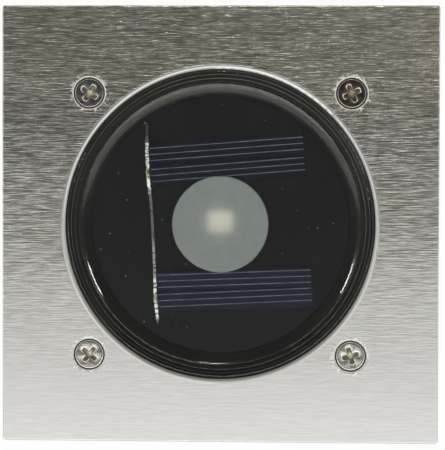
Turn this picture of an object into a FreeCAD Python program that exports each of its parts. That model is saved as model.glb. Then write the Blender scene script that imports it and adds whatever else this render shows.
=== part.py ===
"""Solar in-ground light: a square steel faceplate over a clear lens, a solar module and a buried pot.

Millimetres, +Z up. The origin is the centre of the ground plane, the underside of the pot's square flange.
The faceplate and lens stand above it, the pot and its spike go into the ground below it.
The module, with its lens, solar cells, LED, driver board and battery, lifts out of the pot once
the faceplate's four screws are undone.
"""

import FreeCAD
import Part
import math
import os

Vector = FreeCAD.Vector
UP = Vector(0, 0, 1)
CENTRE = Vector(0, 0, 0)

# A fillet takes at most this share of the wall that it is cut in
FILLET_SHARE = 0.9
PRECISION = 1e-6

# Faceplate
PLATE_SIDE = 120.0
PLATE_THICKNESS = 1.5
PLATE_CORNER_RADIUS = 0.8
PLATE_EDGE_RADIUS = 0.4
OPENING_ROLL_WIDTH = 1.2
OPENING_ROLL_DROP = 0.55
LENS_TO_PLATE_GAP = 0.3

# Faceplate screws and their brass inserts
SCREW_TO_RECESS = 4.1
SCREW_THREAD_DIAMETER = 4.0
SCREW_LENGTH = 14.0
SCREW_HEAD_DIAMETER = 7.4
SCREW_HEAD_DROP = 0.25
SCREW_HEAD_LAND = 0.5
SCREW_HEAD_ROUNDING = 0.35
SCREW_SINK_CLEARANCE = 0.15
SCREW_SINK_ROLL = 0.4
SCREW_HOLE_CLEARANCE = 0.25
SCREW_RECESS_SPAN = 5.2
SCREW_RECESS_WIDTH = 1.2
SCREW_RECESS_DEPTH = 1.5
SCREW_TURNS = {(-1, 1): 56.0, (1, 1): 24.0, (-1, -1): 51.0, (1, -1): 17.0}
INSERT_DIAMETER = 5.6
INSERT_LENGTH = 7.0
INSERT_CLEARANCE = 0.05
BOSS_DIAMETER = 9.5
BOSS_END = 3.0

# Lens
LENS_DIAMETER = 84.7
LENS_WALL = 3.2
LENS_DROP = 0.2
LENS_STEP_WIDTH = 2.3
LENS_STEP_DROP = 0.3
LENS_STEP_RADIUS = 0.2
LENS_EDGE_RADIUS = 0.7
LENS_INNER_FILLET = 0.5
LENS_TO_DIFFUSER_GAP = 0.55
LENS_FLANGE_WIDTH = 4.15
LENS_FLANGE_THICKNESS = 2.0

# Housing pot and gasket
FLANGE_INSET = 1.5
FLANGE_CORNER_RADIUS = 3.0
FLANGE_SKIN = 2.0
FLANGE_SKIRT = 2.5
RECESS_WALL = 2.0
RECESS_WEB = 1.5
RECESS_CLEARANCE = 0.3
GASKET_THICKNESS = 1.5
GASKET_CLEARANCE = 0.3
SEAT_WIDTH = 3.0
POT_WALL = 2.5
POT_STEP = 0.5
POT_DEPTH = 42.0
POT_FLOOR = 3.0
POT_FOOT_RADIUS = 3.0
COLLAR_DEPTH = 14.0
LEDGE_WIDTH = 1.8
LEDGE_HEIGHT = 3.0
GUSSET_DEPTH = 10.0
GUSSET_THICKNESS = 2.5

# Spike and its socket
PLUG_DIAMETER = 16.0
PLUG_LENGTH = 15.0
PLUG_CLEARANCE = 0.1
PLUG_CHAMFER = 1.0
SOCKET_WALL = 2.0
SOCKET_HEADROOM = 1.0
SHOULDER_DIAMETER = 30.0
SHOULDER_THICKNESS = 3.0
SPIKE_LENGTH = 88.0
SPIKE_TOP_WIDTH = 26.0
SPIKE_WAIST_WIDTH = 18.0
SPIKE_WAIST_DROP = 30.0
SPIKE_TIP_WIDTH = 2.4
FIN_THICKNESS = 2.6
FIN_ROOT_RADIUS = 3.0

# Carrier tray
MODULE_CLEARANCE = 0.8
CARRIER_CLEARANCE = 0.5
CARRIER_RIM_HEIGHT = 2.0
CARRIER_FLOOR = 2.0
COVE_WIDTH = 3.3
COVE_RISE = 0.7
COVE_LIP = 0.3
COVE_CLEARANCE = 0.2

# Solar board, cells and bus ribbon
BOARD_THICKNESS = 1.6
BOARD_CLEARANCE = 0.15
CELL_LENGTH = 43.2
CELL_WIDTH = 5.6
CELL_GAP = 0.3
CELL_THICKNESS = 0.25
UPPER_PAIR_CENTRE = (1.7, 17.75)
UPPER_PAIR_TILT = 4.1
LOWER_PAIR_CENTRE = (3.85, -17.85)
LOWER_PAIR_TILT = 2.1
RIBBON_TOP = (-20.5, 27.6)
RIBBON_BOTTOM = (-18.2, -27.9)
RIBBON_WIDTH = 1.0
RIBBON_THICKNESS = 0.15

# Diffuser, reflector and LED
DIFFUSER_DIAMETER = 26.6
DIFFUSER_THICKNESS = 1.0
DIFFUSER_EDGE_RADIUS = 0.4
DIFFUSER_LIFT = 0.1
NECK_DIAMETER = 15.0
NECK_WALL = 1.0
WELL_CLEARANCE = 0.2
WELL_WALL = 1.5
WELL_FLOOR = 1.5
REFLECTOR_HEIGHT = 7.8
REFLECTOR_MOUTH_DIAMETER = 13.0
REFLECTOR_THROAT_DIAMETER = 8.4
LED_BOARD_THICKNESS = 1.2
LED_SIDE = 5.0
LED_HEIGHT = 1.6
PHOSPHOR_DIAMETER = 4.0
PHOSPHOR_DEPTH = 0.6

# Driver board and its parts; places are shares of its length and width, from its middle
DRIVER_LENGTH = 37.0
DRIVER_WIDTH = 18.0
DRIVER_THICKNESS = 1.2
DRIVER_GAP = 4.4
CHIP_PLACE = (-0.25, 0.17)
INDUCTOR_PLACE = (0.25, 0.17)
CAPACITOR_PLACE = (-0.17, -0.25)
SWITCH_PLACE = (0.0, 0.2)
SOLAR_LEAD_PLACE = (0.17, -0.17)
BATTERY_LEAD_PLACE = (0.33, -0.37)
LED_LEAD_SHIFT = 4.1
LED_LEAD_EDGE = 2.4
POST_HEIGHT = 6.0
POST_DIAMETER = 5.0
POST_INSET = 3.0
SMALL_SCREW_DIAMETER = 2.0
SMALL_SCREW_HEAD_DIAMETER = 3.8
SMALL_SCREW_HEAD_HEIGHT = 1.3
SMALL_SCREW_GRIP = 4.0
SMALL_SCREW_SLOT_WIDTH = 0.6
SMALL_SCREW_SLOT_DEPTH = 0.6
SMALL_SCREW_CLEARANCE = 0.05
BOARD_HOLE_CLEARANCE = 0.25
CHIP_LENGTH = 4.9
CHIP_WIDTH = 3.9
CHIP_HEIGHT = 1.5
CHIP_STANDOFF = 0.2
CHIP_LEG_PITCH = 1.27
CHIP_LEG_WIDTH = 0.4
CHIP_LEG_REACH = 1.0
CHIP_LEGS_PER_SIDE = 4
INDUCTOR_SIDE = 6.0
INDUCTOR_HEIGHT = 3.0
INDUCTOR_CORNER_RADIUS = 1.2
CAPACITOR_DIAMETER = 5.0
CAPACITOR_HEIGHT = 7.5
CAPACITOR_GROOVE = 0.4
CAPACITOR_GROOVE_DROP = 1.5

# Slide switch
SWITCH_LENGTH = 8.6
SWITCH_WIDTH = 4.4
SWITCH_HEIGHT = 3.6
SWITCH_FACE = 0.8
SWITCH_ROOF = 0.8
SWITCH_TRAVEL = 2.0
SLIDER_CLEARANCE = 0.15
KNOB_LENGTH = 2.0
KNOB_WIDTH = 1.5
KNOB_REACH = 3.0
KNOB_GROOVES = 3
FOOT_LENGTH = 3.4
FOOT_WIDTH = 2.6

# Battery, holder and contacts
BATTERY_DIAMETER = 14.5
BATTERY_LENGTH = 50.5
BATTERY_NUB_DIAMETER = 5.5
BATTERY_NUB_LENGTH = 1.2
BATTERY_CAN_WALL = 0.3
BATTERY_CAP_THICKNESS = 1.0
BATTERY_CORE_CLEARANCE = 0.1
SLEEVE_THICKNESS = 0.2
SLEEVE_LIP = 1.2
BATTERY_CLEARANCE = 0.3
HOLDER_WALL = 1.2
HOLDER_BASE = 1.5
HOLDER_TO_WELL_GAP = 0.6
HOLDER_END_DROP = 6.0
HOLDER_SCREW_SPACING = 24.0
HOLDER_SCREW_GRIP = 1.6
CONTACT_THICKNESS = 0.4
CONTACT_WIDTH = 11.0
CONTACT_TO_BATTERY = 0.15
TAB_WIDTH = 2.6
TAB_REACH = 1.8
TAB_DROP = 1.6
TAB_CLEARANCE = 0.2
SPRING_WIRE = 0.5
SPRING_LENGTH = 4.8
SPRING_BASE_RADIUS = 4.6
SPRING_TIP_RADIUS = 2.8
SPRING_TURNS = 3
SPRING_ARCS_PER_TURN = 4

# Leads
LEAD_DIAMETER = 1.2
LEAD_HOLE_CLEARANCE = 0.3
LEAD_BEND_SHARE = 0.45
LEAD_DROP = 3.6
LEAD_STANDOFF = 2.4
LEAD_SLACK = 1.2
TUBE_VOLUME_TOLERANCE = 0.02

# Heights that follow from the sizes above
gasket_bottom = RECESS_WEB
lens_bottom = gasket_bottom + GASKET_THICKNESS
flange_top = lens_bottom + LENS_FLANGE_THICKNESS
flange_ceiling = flange_top - FLANGE_SKIN
plate_top = flange_top + PLATE_THICKNESS
lens_top = plate_top - LENS_DROP
lens_land = lens_top - LENS_STEP_DROP
tray_floor_top = lens_bottom - CARRIER_RIM_HEIGHT
tray_floor_bottom = tray_floor_top - CARRIER_FLOOR
board_top = tray_floor_top + BOARD_THICKNESS
cell_top = board_top + CELL_THICKNESS
diffuser_bottom = cell_top + DIFFUSER_LIFT
diffuser_top = diffuser_bottom + DIFFUSER_THICKNESS
lens_ceiling = diffuser_top + LENS_TO_DIFFUSER_GAP
cove_top = min(board_top + COVE_RISE, lens_ceiling - COVE_CLEARANCE)
reflector_bottom = tray_floor_top - REFLECTOR_HEIGHT
led_board_bottom = reflector_bottom - LED_BOARD_THICKNESS
well_bottom = led_board_bottom - WELL_FLOOR
driver_top = tray_floor_bottom - POST_HEIGHT
driver_bottom = driver_top - DRIVER_THICKNESS
holder_bottom = tray_floor_bottom - HOLDER_BASE
battery_z = holder_bottom - BATTERY_CLEARANCE - BATTERY_DIAMETER / 2
tab_z = holder_bottom - TAB_DROP
pot_bottom = -POT_DEPTH
pot_floor_top = pot_bottom + POT_FLOOR
socket_top = pot_bottom + PLUG_LENGTH + SOCKET_HEADROOM

# The module's parts below the tray, from the LED well outwards
neck_radius = NECK_DIAMETER / 2
well_radius = neck_radius + WELL_CLEARANCE
well_outer_radius = well_radius + WELL_WALL
driver_y = well_outer_radius + DRIVER_GAP + DRIVER_WIDTH / 2
post_x = DRIVER_LENGTH / 2 - POST_INSET
holder_half_width = BATTERY_DIAMETER / 2 + BATTERY_CLEARANCE + HOLDER_WALL
battery_y = -(well_outer_radius + HOLDER_TO_WELL_GAP + holder_half_width)
holder_bore = BATTERY_LENGTH + SPRING_LENGTH + 2 * (CONTACT_THICKNESS + CONTACT_TO_BATTERY)
holder_half_length = holder_bore / 2 + HOLDER_WALL
battery_tip_x = holder_bore / 2 - CONTACT_THICKNESS - CONTACT_TO_BATTERY
battery_tail_x = battery_tip_x - BATTERY_LENGTH
can_radius = BATTERY_DIAMETER / 2 - SLEEVE_THICKNESS
can_mouth_x = battery_tip_x - BATTERY_NUB_LENGTH - BATTERY_CAP_THICKNESS
tab_end_x = holder_half_length + TAB_REACH
battery_lead_x = tab_end_x + LEAD_STANDOFF
lead_hole_radius = LEAD_DIAMETER / 2 + LEAD_HOLE_CLEARANCE
module_reach = max(
    math.hypot(holder_half_length, holder_half_width - battery_y),
    math.hypot(DRIVER_LENGTH / 2, driver_y + DRIVER_WIDTH / 2),
    math.hypot(battery_lead_x + LEAD_DIAMETER / 2, battery_y),
)

# The lens, and the pot that is wide enough for both the lens and the module
lens_radius = LENS_DIAMETER / 2
lens_bore_radius = lens_radius - LENS_WALL
opening_radius = lens_radius + LENS_TO_PLATE_GAP
pot_bore_radius = max(
    lens_radius + LENS_FLANGE_WIDTH - SEAT_WIDTH,
    module_reach + MODULE_CLEARANCE + LEDGE_WIDTH,
)
lens_flange_radius = pot_bore_radius + SEAT_WIDTH
recess_radius = lens_flange_radius + RECESS_CLEARANCE
ledge_radius = pot_bore_radius - LEDGE_WIDTH
pot_radius = pot_bore_radius + POT_WALL
pot_body_radius = pot_radius - POT_STEP
collar_radius = max(pot_radius, recess_radius + RECESS_WALL)
carrier_radius = pot_bore_radius - CARRIER_CLEARANCE
cove_radius = lens_bore_radius - COVE_CLEARANCE
tray_radius = cove_radius - COVE_WIDTH
board_radius = tray_radius - BOARD_CLEARANCE

# The square flange and the screws outside the lens recess
flange_half = PLATE_SIDE / 2 - FLANGE_INSET
skirt_half = flange_half - FLANGE_SKIRT
screw_radius = SCREW_THREAD_DIAMETER / 2
screw_hole_radius = screw_radius + SCREW_HOLE_CLEARANCE
screw_head_radius = SCREW_HEAD_DIAMETER / 2
sink_radius = screw_head_radius + SCREW_HEAD_DROP + SCREW_HEAD_LAND + SCREW_SINK_CLEARANCE
screw_half_spacing = (recess_radius + SCREW_TO_RECESS) / math.sqrt(2)
screw_tip = plate_top - SCREW_LENGTH
screw_rim = plate_top - SCREW_HEAD_DROP
screw_neck = screw_rim - SCREW_HEAD_LAND - (screw_head_radius - screw_radius)
screw_hole_end = screw_tip - SCREW_HOLE_CLEARANCE
boss_bottom = screw_hole_end - BOSS_END
insert_top = min(flange_top, screw_neck - SCREW_SINK_CLEARANCE)
insert_bottom = insert_top - INSERT_LENGTH

# The spike
plug_radius = PLUG_DIAMETER / 2
socket_radius = plug_radius + PLUG_CLEARANCE


def disc(radius, low, high, x=0.0, y=0.0):
    """A solid upright cylinder between two heights."""
    return Part.makeCylinder(radius, high - low, Vector(x, y, low), UP)


def ring(inner, outer, low, high, x=0.0, y=0.0):
    """An upright tube between two heights."""
    return disc(outer, low, high, x, y).cut(disc(inner, low, high, x, y))


def box(x_range, y_range, z_range):
    """A solid box from the ends of its three sides."""
    spans = [high - low for low, high in (x_range, y_range, z_range)]
    return Part.makeBox(*spans, Vector(x_range[0], y_range[0], z_range[0]))


def centred_box(length, width, low, high, x=0.0, y=0.0):
    """A box centred on x and y, between two heights."""
    return box((x - length / 2, x + length / 2), (y - width / 2, y + width / 2), (low, high))


def upright_edges(shape):
    """The straight edges of a shape that run along Z."""
    found = []
    for edge in shape.Edges:
        start, end = (vertex.Point for vertex in edge.Vertexes)
        if math.hypot(end.x - start.x, end.y - start.y) < PRECISION:
            found.append(edge)
    return found


def rounded_slab(length, width, low, high, corner, x=0.0, y=0.0):
    """A slab with its four upright corners rounded."""
    slab = centred_box(length, width, low, high, x, y)
    return slab.makeFillet(corner, upright_edges(slab))


def revolved(edges):
    """A full turn about Z of a closed outline drawn in the XZ plane."""
    return Part.Face(Part.Wire(edges)).revolve(CENTRE, UP, 360)


def line(start, end):
    """A straight edge in the XZ plane, from two radius and height pairs."""
    return Part.LineSegment(Vector(start[0], 0, start[1]), Vector(end[0], 0, end[1])).toShape()


def quarter(centre, radius, start_degrees):
    """A quarter circle in the XZ plane, turning from start_degrees to 90 degrees further on."""
    points = []
    for step in (0, 45, 90):
        angle = math.radians(start_degrees + step)
        points.append(Vector(centre[0] + radius * math.cos(angle), 0, centre[1] + radius * math.sin(angle)))
    return Part.Arc(*points).toShape()


def bowed(start, width, rise):
    """An arc in the XZ plane that leaves start level and gains the width and rise on its way."""
    radius = (width ** 2 + rise ** 2) / (2 * abs(rise))
    sweep = math.atan2(abs(width), radius - abs(rise))
    points = []
    for angle in (0, sweep / 2, sweep):
        run = math.copysign(radius * math.sin(angle), width)
        climb = math.copysign(radius * (1 - math.cos(angle)), rise)
        points.append(Vector(start[0] + run, 0, start[1] + climb))
    return Part.Arc(*points).toShape()


def outline(points):
    """Straight edges round a closed outline in the XZ plane."""
    return [line(start, end) for start, end in zip(points, points[1:] + points[:1])]


def turned(shape, degrees, x, y):
    """A shape turned about an upright axis through x and y."""
    shape.rotate(Vector(x, y, 0), UP, degrees)
    return shape


def screw_places():
    """The four faceplate screws, as corner signs with their centres."""
    half = screw_half_spacing
    return [(corner, corner[0] * half, corner[1] * half) for corner in SCREW_TURNS]


def make_sink(x, y):
    """The countersunk hole that a faceplate screw needs, from the plate's top to the screw's end."""
    slope = sink_radius - screw_hole_radius
    low = plate_top - slope
    cone = Part.makeCone(screw_hole_radius, sink_radius, slope, Vector(x, y, low), UP)
    return cone.fuse(disc(screw_hole_radius, screw_hole_end, low, x, y))


def make_faceplate():
    """Square steel plate with a rolled edge round the lens opening."""
    plate = rounded_slab(PLATE_SIDE, PLATE_SIDE, flange_top, plate_top, PLATE_CORNER_RADIUS)
    rim = [edge for edge in plate.Edges if edge.BoundBox.ZMin > plate_top - PLATE_THICKNESS / 2]
    plate = plate.makeFillet(min(PLATE_EDGE_RADIUS, FILLET_SHARE * PLATE_CORNER_RADIUS), rim)
    drop = min(OPENING_ROLL_DROP, FILLET_SHARE * PLATE_THICKNESS)
    mouth = opening_radius + OPENING_ROLL_WIDTH
    cutter = revolved([
        line((0, flange_top), (0, plate_top)),
        line((0, plate_top), (mouth, plate_top)),
        bowed((mouth, plate_top), -OPENING_ROLL_WIDTH, -drop),
        line((opening_radius, plate_top - drop), (opening_radius, flange_top)),
        line((opening_radius, flange_top), (0, flange_top)),
    ])
    plate = plate.cut(cutter)
    for _, x, y in screw_places():
        plate = plate.cut(make_sink(x, y))
    return plate.makeFillet(min(SCREW_SINK_ROLL, FILLET_SHARE * PLATE_THICKNESS), sink_edges(plate))


def sink_edges(plate):
    """The round edges of the screws' holes in the plate's top."""
    found = []
    for edge in plate.Edges:
        bounds = edge.BoundBox
        off_centre = abs(bounds.Center.x) > sink_radius
        wide = 2 * sink_radius - PRECISION
        if bounds.ZMin > plate_top - PRECISION and off_centre and wide < bounds.XLength < PLATE_SIDE / 2:
            found.append(edge)
    return found


def make_cover_screw(corner, x, y):
    """Countersunk machine screw: flat head, rounded rim and a cross recess, turned as it was driven."""
    land_bottom = screw_rim - SCREW_HEAD_LAND
    rounding = min(SCREW_HEAD_ROUNDING, FILLET_SHARE * SCREW_HEAD_LAND)
    screw = revolved([
        line((0, screw_tip), (screw_radius, screw_tip)),
        line((screw_radius, screw_tip), (screw_radius, screw_neck)),
        line((screw_radius, screw_neck), (screw_head_radius, land_bottom)),
        line((screw_head_radius, land_bottom), (screw_head_radius, screw_rim - rounding)),
        quarter((screw_head_radius - rounding, screw_rim - rounding), rounding, 0),
        line((screw_head_radius - rounding, screw_rim), (0, screw_rim)),
        line((0, screw_rim), (0, screw_tip)),
    ])
    depth = screw_rim - SCREW_RECESS_DEPTH
    wings = centred_box(SCREW_RECESS_SPAN, SCREW_RECESS_WIDTH, depth, screw_rim)
    wings = wings.fuse(centred_box(SCREW_RECESS_WIDTH, SCREW_RECESS_SPAN, depth, screw_rim))
    pit_bottom = Vector(0, 0, depth)
    pit = Part.makeCone(SCREW_RECESS_WIDTH / 2, SCREW_RECESS_WIDTH, SCREW_RECESS_DEPTH, pit_bottom, UP)
    screw = screw.cut(wings.fuse(pit))
    screw.rotate(CENTRE, UP, SCREW_TURNS[corner])
    screw.translate(Vector(x, y, 0))
    return screw


def make_cover_screws():
    """The four faceplate screws."""
    return Part.makeCompound([make_cover_screw(*place) for place in screw_places()])


def make_screw_inserts():
    """Brass threaded inserts in the housing's bosses, just under the screws' heads."""
    bore = screw_radius + INSERT_CLEARANCE
    outer = INSERT_DIAMETER / 2
    rings = [ring(bore, outer, insert_bottom, insert_top, x, y) for _, x, y in screw_places()]
    return Part.makeCompound(rings)


def make_lens():
    """Clear dish just below the plate's top: flat disc, low step, round shoulder and clamped flange."""
    fillet = min(LENS_INNER_FILLET, FILLET_SHARE * (lens_ceiling - lens_bottom))
    shoulder = min(LENS_EDGE_RADIUS, FILLET_SHARE * (lens_land - flange_top))
    rounding = min(LENS_STEP_RADIUS, FILLET_SHARE * LENS_STEP_DROP)
    disc_radius = lens_radius - LENS_STEP_WIDTH
    return revolved([
        line((0, lens_ceiling), (lens_bore_radius - fillet, lens_ceiling)),
        quarter((lens_bore_radius - fillet, lens_ceiling - fillet), fillet, 0).reversed(),
        line((lens_bore_radius, lens_ceiling - fillet), (lens_bore_radius, lens_bottom)),
        line((lens_bore_radius, lens_bottom), (lens_flange_radius, lens_bottom)),
        line((lens_flange_radius, lens_bottom), (lens_flange_radius, flange_top)),
        line((lens_flange_radius, flange_top), (lens_radius, flange_top)),
        line((lens_radius, flange_top), (lens_radius, lens_land - shoulder)),
        quarter((lens_radius - shoulder, lens_land - shoulder), shoulder, 0),
        line((lens_radius - shoulder, lens_land), (disc_radius, lens_land)),
        line((disc_radius, lens_land), (disc_radius, lens_top - rounding)),
        quarter((disc_radius - rounding, lens_top - rounding), rounding, 0),
        line((disc_radius - rounding, lens_top), (0, lens_top)),
        line((0, lens_top), (0, lens_ceiling)),
    ])


def make_lens_gasket():
    """Flat silicone ring between the lens flange and the pot."""
    inner = pot_bore_radius + GASKET_CLEARANCE
    return ring(inner, recess_radius - GASKET_CLEARANCE, gasket_bottom, lens_bottom)


def make_gusset(quarter_turn):
    """Stiffener from the pot's collar out to the flange's skirt, at the middle of one side."""
    root = pot_radius - POT_WALL / 2
    edge = flange_half - FLANGE_SKIRT / 2
    corners = [
        Vector(root, -GUSSET_THICKNESS / 2, flange_ceiling),
        Vector(edge, -GUSSET_THICKNESS / 2, flange_ceiling),
        Vector(edge, -GUSSET_THICKNESS / 2, 0),
        Vector(root, -GUSSET_THICKNESS / 2, -GUSSET_DEPTH),
    ]
    face = Part.Face(Part.makePolygon(corners + corners[:1]))
    return turned(face.extrude(Vector(0, GUSSET_THICKNESS, 0)), 90 * quarter_turn, 0, 0)


def make_boss(sign_x, sign_y, x, y):
    """Screw boss under a corner of the flange, tied to the collar and to the skirt's corner."""
    boss = disc(BOSS_DIAMETER / 2, boss_bottom, flange_ceiling, x, y)
    reach = math.hypot(x, y)
    half = GUSSET_THICKNESS / 2
    corner = (skirt_half + FLANGE_SKIRT / 2) * math.sqrt(2) - FLANGE_CORNER_RADIUS
    inner = box((pot_radius - POT_WALL / 2, reach), (-half, half), (boss_bottom, flange_ceiling))
    outer = box((reach, corner), (-half, half), (0, flange_ceiling))
    ribs = turned(inner.fuse(outer), math.degrees(math.atan2(sign_y, sign_x)), 0, 0)
    return boss.fuse(ribs)


def make_flange():
    """Square top skin with a skirt round its edge, hollow underneath outside the lens recess."""
    flange = rounded_slab(2 * flange_half, 2 * flange_half, 0, flange_top, FLANGE_CORNER_RADIUS)
    corner = min(FLANGE_CORNER_RADIUS, FLANGE_SKIRT) / 2
    hollow = rounded_slab(2 * skirt_half, 2 * skirt_half, 0, flange_ceiling, corner)
    return flange.cut(hollow.cut(disc(collar_radius, 0, flange_ceiling)))


def make_pot_form():
    """The pot's outside as a solid of revolution: collar, slimmer body and rounded foot."""
    foot = min(POT_FOOT_RADIUS, FILLET_SHARE * (POT_DEPTH - COLLAR_DEPTH))
    return revolved([
        line((0, pot_bottom), (pot_body_radius - foot, pot_bottom)),
        quarter((pot_body_radius - foot, pot_bottom + foot), foot, 270),
        line((pot_body_radius, pot_bottom + foot), (pot_body_radius, -COLLAR_DEPTH)),
        line((pot_body_radius, -COLLAR_DEPTH), (pot_radius, -COLLAR_DEPTH)),
        line((pot_radius, -COLLAR_DEPTH), (pot_radius, flange_top)),
        line((pot_radius, flange_top), (0, flange_top)),
        line((0, flange_top), (0, pot_bottom)),
    ])


def make_housing():
    """Moulded pot: hollow square flange, stepped round wall, screw bosses, carrier ledge and spike socket."""
    shell = make_flange().fuse(make_pot_form())
    for turn in range(4):
        shell = shell.fuse(make_gusset(turn))
    for (sign_x, sign_y), x, y in screw_places():
        shell = shell.fuse(make_boss(sign_x, sign_y, x, y))
    ledge_bottom = tray_floor_bottom - LEDGE_HEIGHT
    shell = shell.cut(disc(recess_radius, gasket_bottom, flange_top))
    shell = shell.cut(disc(pot_bore_radius, tray_floor_bottom, flange_top))
    shell = shell.cut(disc(ledge_radius, ledge_bottom, tray_floor_bottom))
    shell = shell.cut(disc(pot_bore_radius, pot_floor_top, ledge_bottom))
    for _, x, y in screw_places():
        seat = INSERT_DIAMETER / 2 + INSERT_CLEARANCE
        shell = shell.cut(disc(seat, insert_bottom, flange_top, x, y))
        shell = shell.cut(make_sink(x, y))
    shell = shell.fuse(disc(socket_radius + SOCKET_WALL, pot_bottom, socket_top + SOCKET_WALL))
    shell = shell.cut(disc(socket_radius, pot_bottom, socket_top))
    return shell.removeSplitter()


def make_spike():
    """Push-in ground spike: round plug, shoulder and four tapering fins on a round core."""
    shoulder_bottom = pot_bottom - SHOULDER_THICKNESS
    tip = shoulder_bottom - SPIKE_LENGTH
    plug_top = pot_bottom + PLUG_LENGTH
    spike = revolved(outline([
        (0, shoulder_bottom),
        (SHOULDER_DIAMETER / 2, shoulder_bottom),
        (SHOULDER_DIAMETER / 2, pot_bottom),
        (plug_radius, pot_bottom),
        (plug_radius, plug_top - PLUG_CHAMFER),
        (plug_radius - PLUG_CHAMFER, plug_top),
        (0, plug_top),
    ]))
    core = Part.makeCone(SPIKE_TIP_WIDTH / 2, FIN_ROOT_RADIUS, SPIKE_LENGTH, Vector(0, 0, tip), UP)
    spike = spike.fuse(core)
    half_widths = [
        (SPIKE_TOP_WIDTH / 2, shoulder_bottom),
        (SPIKE_WAIST_WIDTH / 2, shoulder_bottom - SPIKE_WAIST_DROP),
        (SPIKE_TIP_WIDTH / 2, tip),
    ]
    corners = [Vector(half, -FIN_THICKNESS / 2, z) for half, z in half_widths]
    corners += [Vector(-half, -FIN_THICKNESS / 2, z) for half, z in reversed(half_widths)]
    face = Part.Face(Part.makePolygon(corners + corners[:1]))
    for turn in (0, 90):
        blade = face.extrude(Vector(0, FIN_THICKNESS, 0))
        spike = spike.fuse(turned(blade, turn, 0, 0))
    return spike.removeSplitter()


def on_driver_board(place):
    """A place on the driver board as x and y, from its shares of the board's length and width."""
    return place[0] * DRIVER_LENGTH, driver_y + place[1] * DRIVER_WIDTH


def solar_lead_place(side):
    """Where one of the two solar leads goes through the tray, as x and y."""
    x, y = on_driver_board(SOLAR_LEAD_PLACE)
    return side * x, y


def led_lead_place(side):
    """Where one of the two LED leads goes through the well's floor, as x and y."""
    return side * neck_radius / 3, neck_radius / 3


def holder_screw_places():
    """The two screws that hold the battery holder, as x and y."""
    return [(side * HOLDER_SCREW_SPACING / 2, battery_y) for side in (-1, 1)]


def make_carrier():
    """Tray that carries the solar board inside a coved wall, with an LED well and two posts below."""
    lip = min(COVE_LIP, COVE_WIDTH / 2)
    carrier = revolved([
        line((0, tray_floor_top), (tray_radius, tray_floor_top)),
        line((tray_radius, tray_floor_top), (tray_radius, board_top)),
        bowed((tray_radius, board_top), COVE_WIDTH - lip, cove_top - board_top),
        line((cove_radius - lip, cove_top), (cove_radius, cove_top)),
        line((cove_radius, cove_top), (cove_radius, lens_bottom)),
        line((cove_radius, lens_bottom), (carrier_radius, lens_bottom)),
        line((carrier_radius, lens_bottom), (carrier_radius, tray_floor_bottom)),
        line((carrier_radius, tray_floor_bottom), (0, tray_floor_bottom)),
        line((0, tray_floor_bottom), (0, tray_floor_top)),
    ])
    carrier = carrier.fuse(disc(well_outer_radius, well_bottom, tray_floor_top))
    carrier = carrier.cut(disc(well_radius, led_board_bottom, tray_floor_top))
    for side in (-1, 1):
        post = disc(POST_DIAMETER / 2, driver_top, tray_floor_bottom, side * post_x, driver_y)
        carrier = carrier.fuse(post)
        pilot = SMALL_SCREW_DIAMETER / 2 + SMALL_SCREW_CLEARANCE
        hole = disc(pilot, driver_top, driver_top + SMALL_SCREW_GRIP, side * post_x, driver_y)
        carrier = carrier.cut(hole)
        x, y = solar_lead_place(side)
        carrier = carrier.cut(disc(lead_hole_radius, tray_floor_bottom, tray_floor_top, x, y))
        x, y = led_lead_place(side)
        carrier = carrier.cut(disc(lead_hole_radius, well_bottom, led_board_bottom, x, y))
    for x, y in holder_screw_places():
        pilot = SMALL_SCREW_DIAMETER / 2 + SMALL_SCREW_CLEARANCE
        carrier = carrier.cut(disc(pilot, tray_floor_bottom, tray_floor_bottom + HOLDER_SCREW_GRIP, x, y))
    return carrier.removeSplitter()


def make_solar_board():
    """Round black board with a hole for the diffuser's neck."""
    return ring(well_radius, board_radius, tray_floor_top, board_top)


def make_cell_pair(centre, tilt):
    """Two slim solar cells side by side, tilted together as they were laid."""
    x, y = centre
    offset = (CELL_WIDTH + CELL_GAP) / 2
    cells = []
    for side in (-1, 1):
        cell = centred_box(CELL_LENGTH, CELL_WIDTH, board_top, cell_top, x, y + side * offset)
        cells.append(turned(cell, tilt, x, y))
    return Part.makeCompound(cells)


def make_bus_ribbon():
    """Tinned strip across the left ends of all four cells, cut to a point at its lower end."""
    along = Vector(*RIBBON_BOTTOM, 0).sub(Vector(*RIBBON_TOP, 0))
    length = along.Length
    along.normalize()
    across = Vector(-along.y, along.x, 0).multiply(RIBBON_WIDTH / 2)
    start = Vector(*RIBBON_TOP, cell_top)
    shoulder = start.add(Vector(along).multiply(length - 2 * RIBBON_WIDTH))
    point = start.add(Vector(along).multiply(length))
    corners = [start.add(across), shoulder.add(across), point, shoulder.sub(across), start.sub(across)]
    face = Part.Face(Part.makePolygon(corners + corners[:1]))
    return face.extrude(Vector(0, 0, RIBBON_THICKNESS))


def make_diffuser():
    """Frosted button over the LED: a disc above the cells on a tubular neck."""
    radius = DIFFUSER_DIAMETER / 2
    edge = min(DIFFUSER_EDGE_RADIUS, DIFFUSER_THICKNESS / 2)
    bore = neck_radius - NECK_WALL
    return revolved([
        line((0, diffuser_bottom), (bore, diffuser_bottom)),
        line((bore, diffuser_bottom), (bore, tray_floor_top)),
        line((bore, tray_floor_top), (neck_radius, tray_floor_top)),
        line((neck_radius, tray_floor_top), (neck_radius, diffuser_bottom)),
        line((neck_radius, diffuser_bottom), (radius, diffuser_bottom)),
        line((radius, diffuser_bottom), (radius, diffuser_top - edge)),
        quarter((radius - edge, diffuser_top - edge), edge, 0),
        line((radius - edge, diffuser_top), (0, diffuser_top)),
        line((0, diffuser_top), (0, diffuser_bottom)),
    ])


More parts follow.
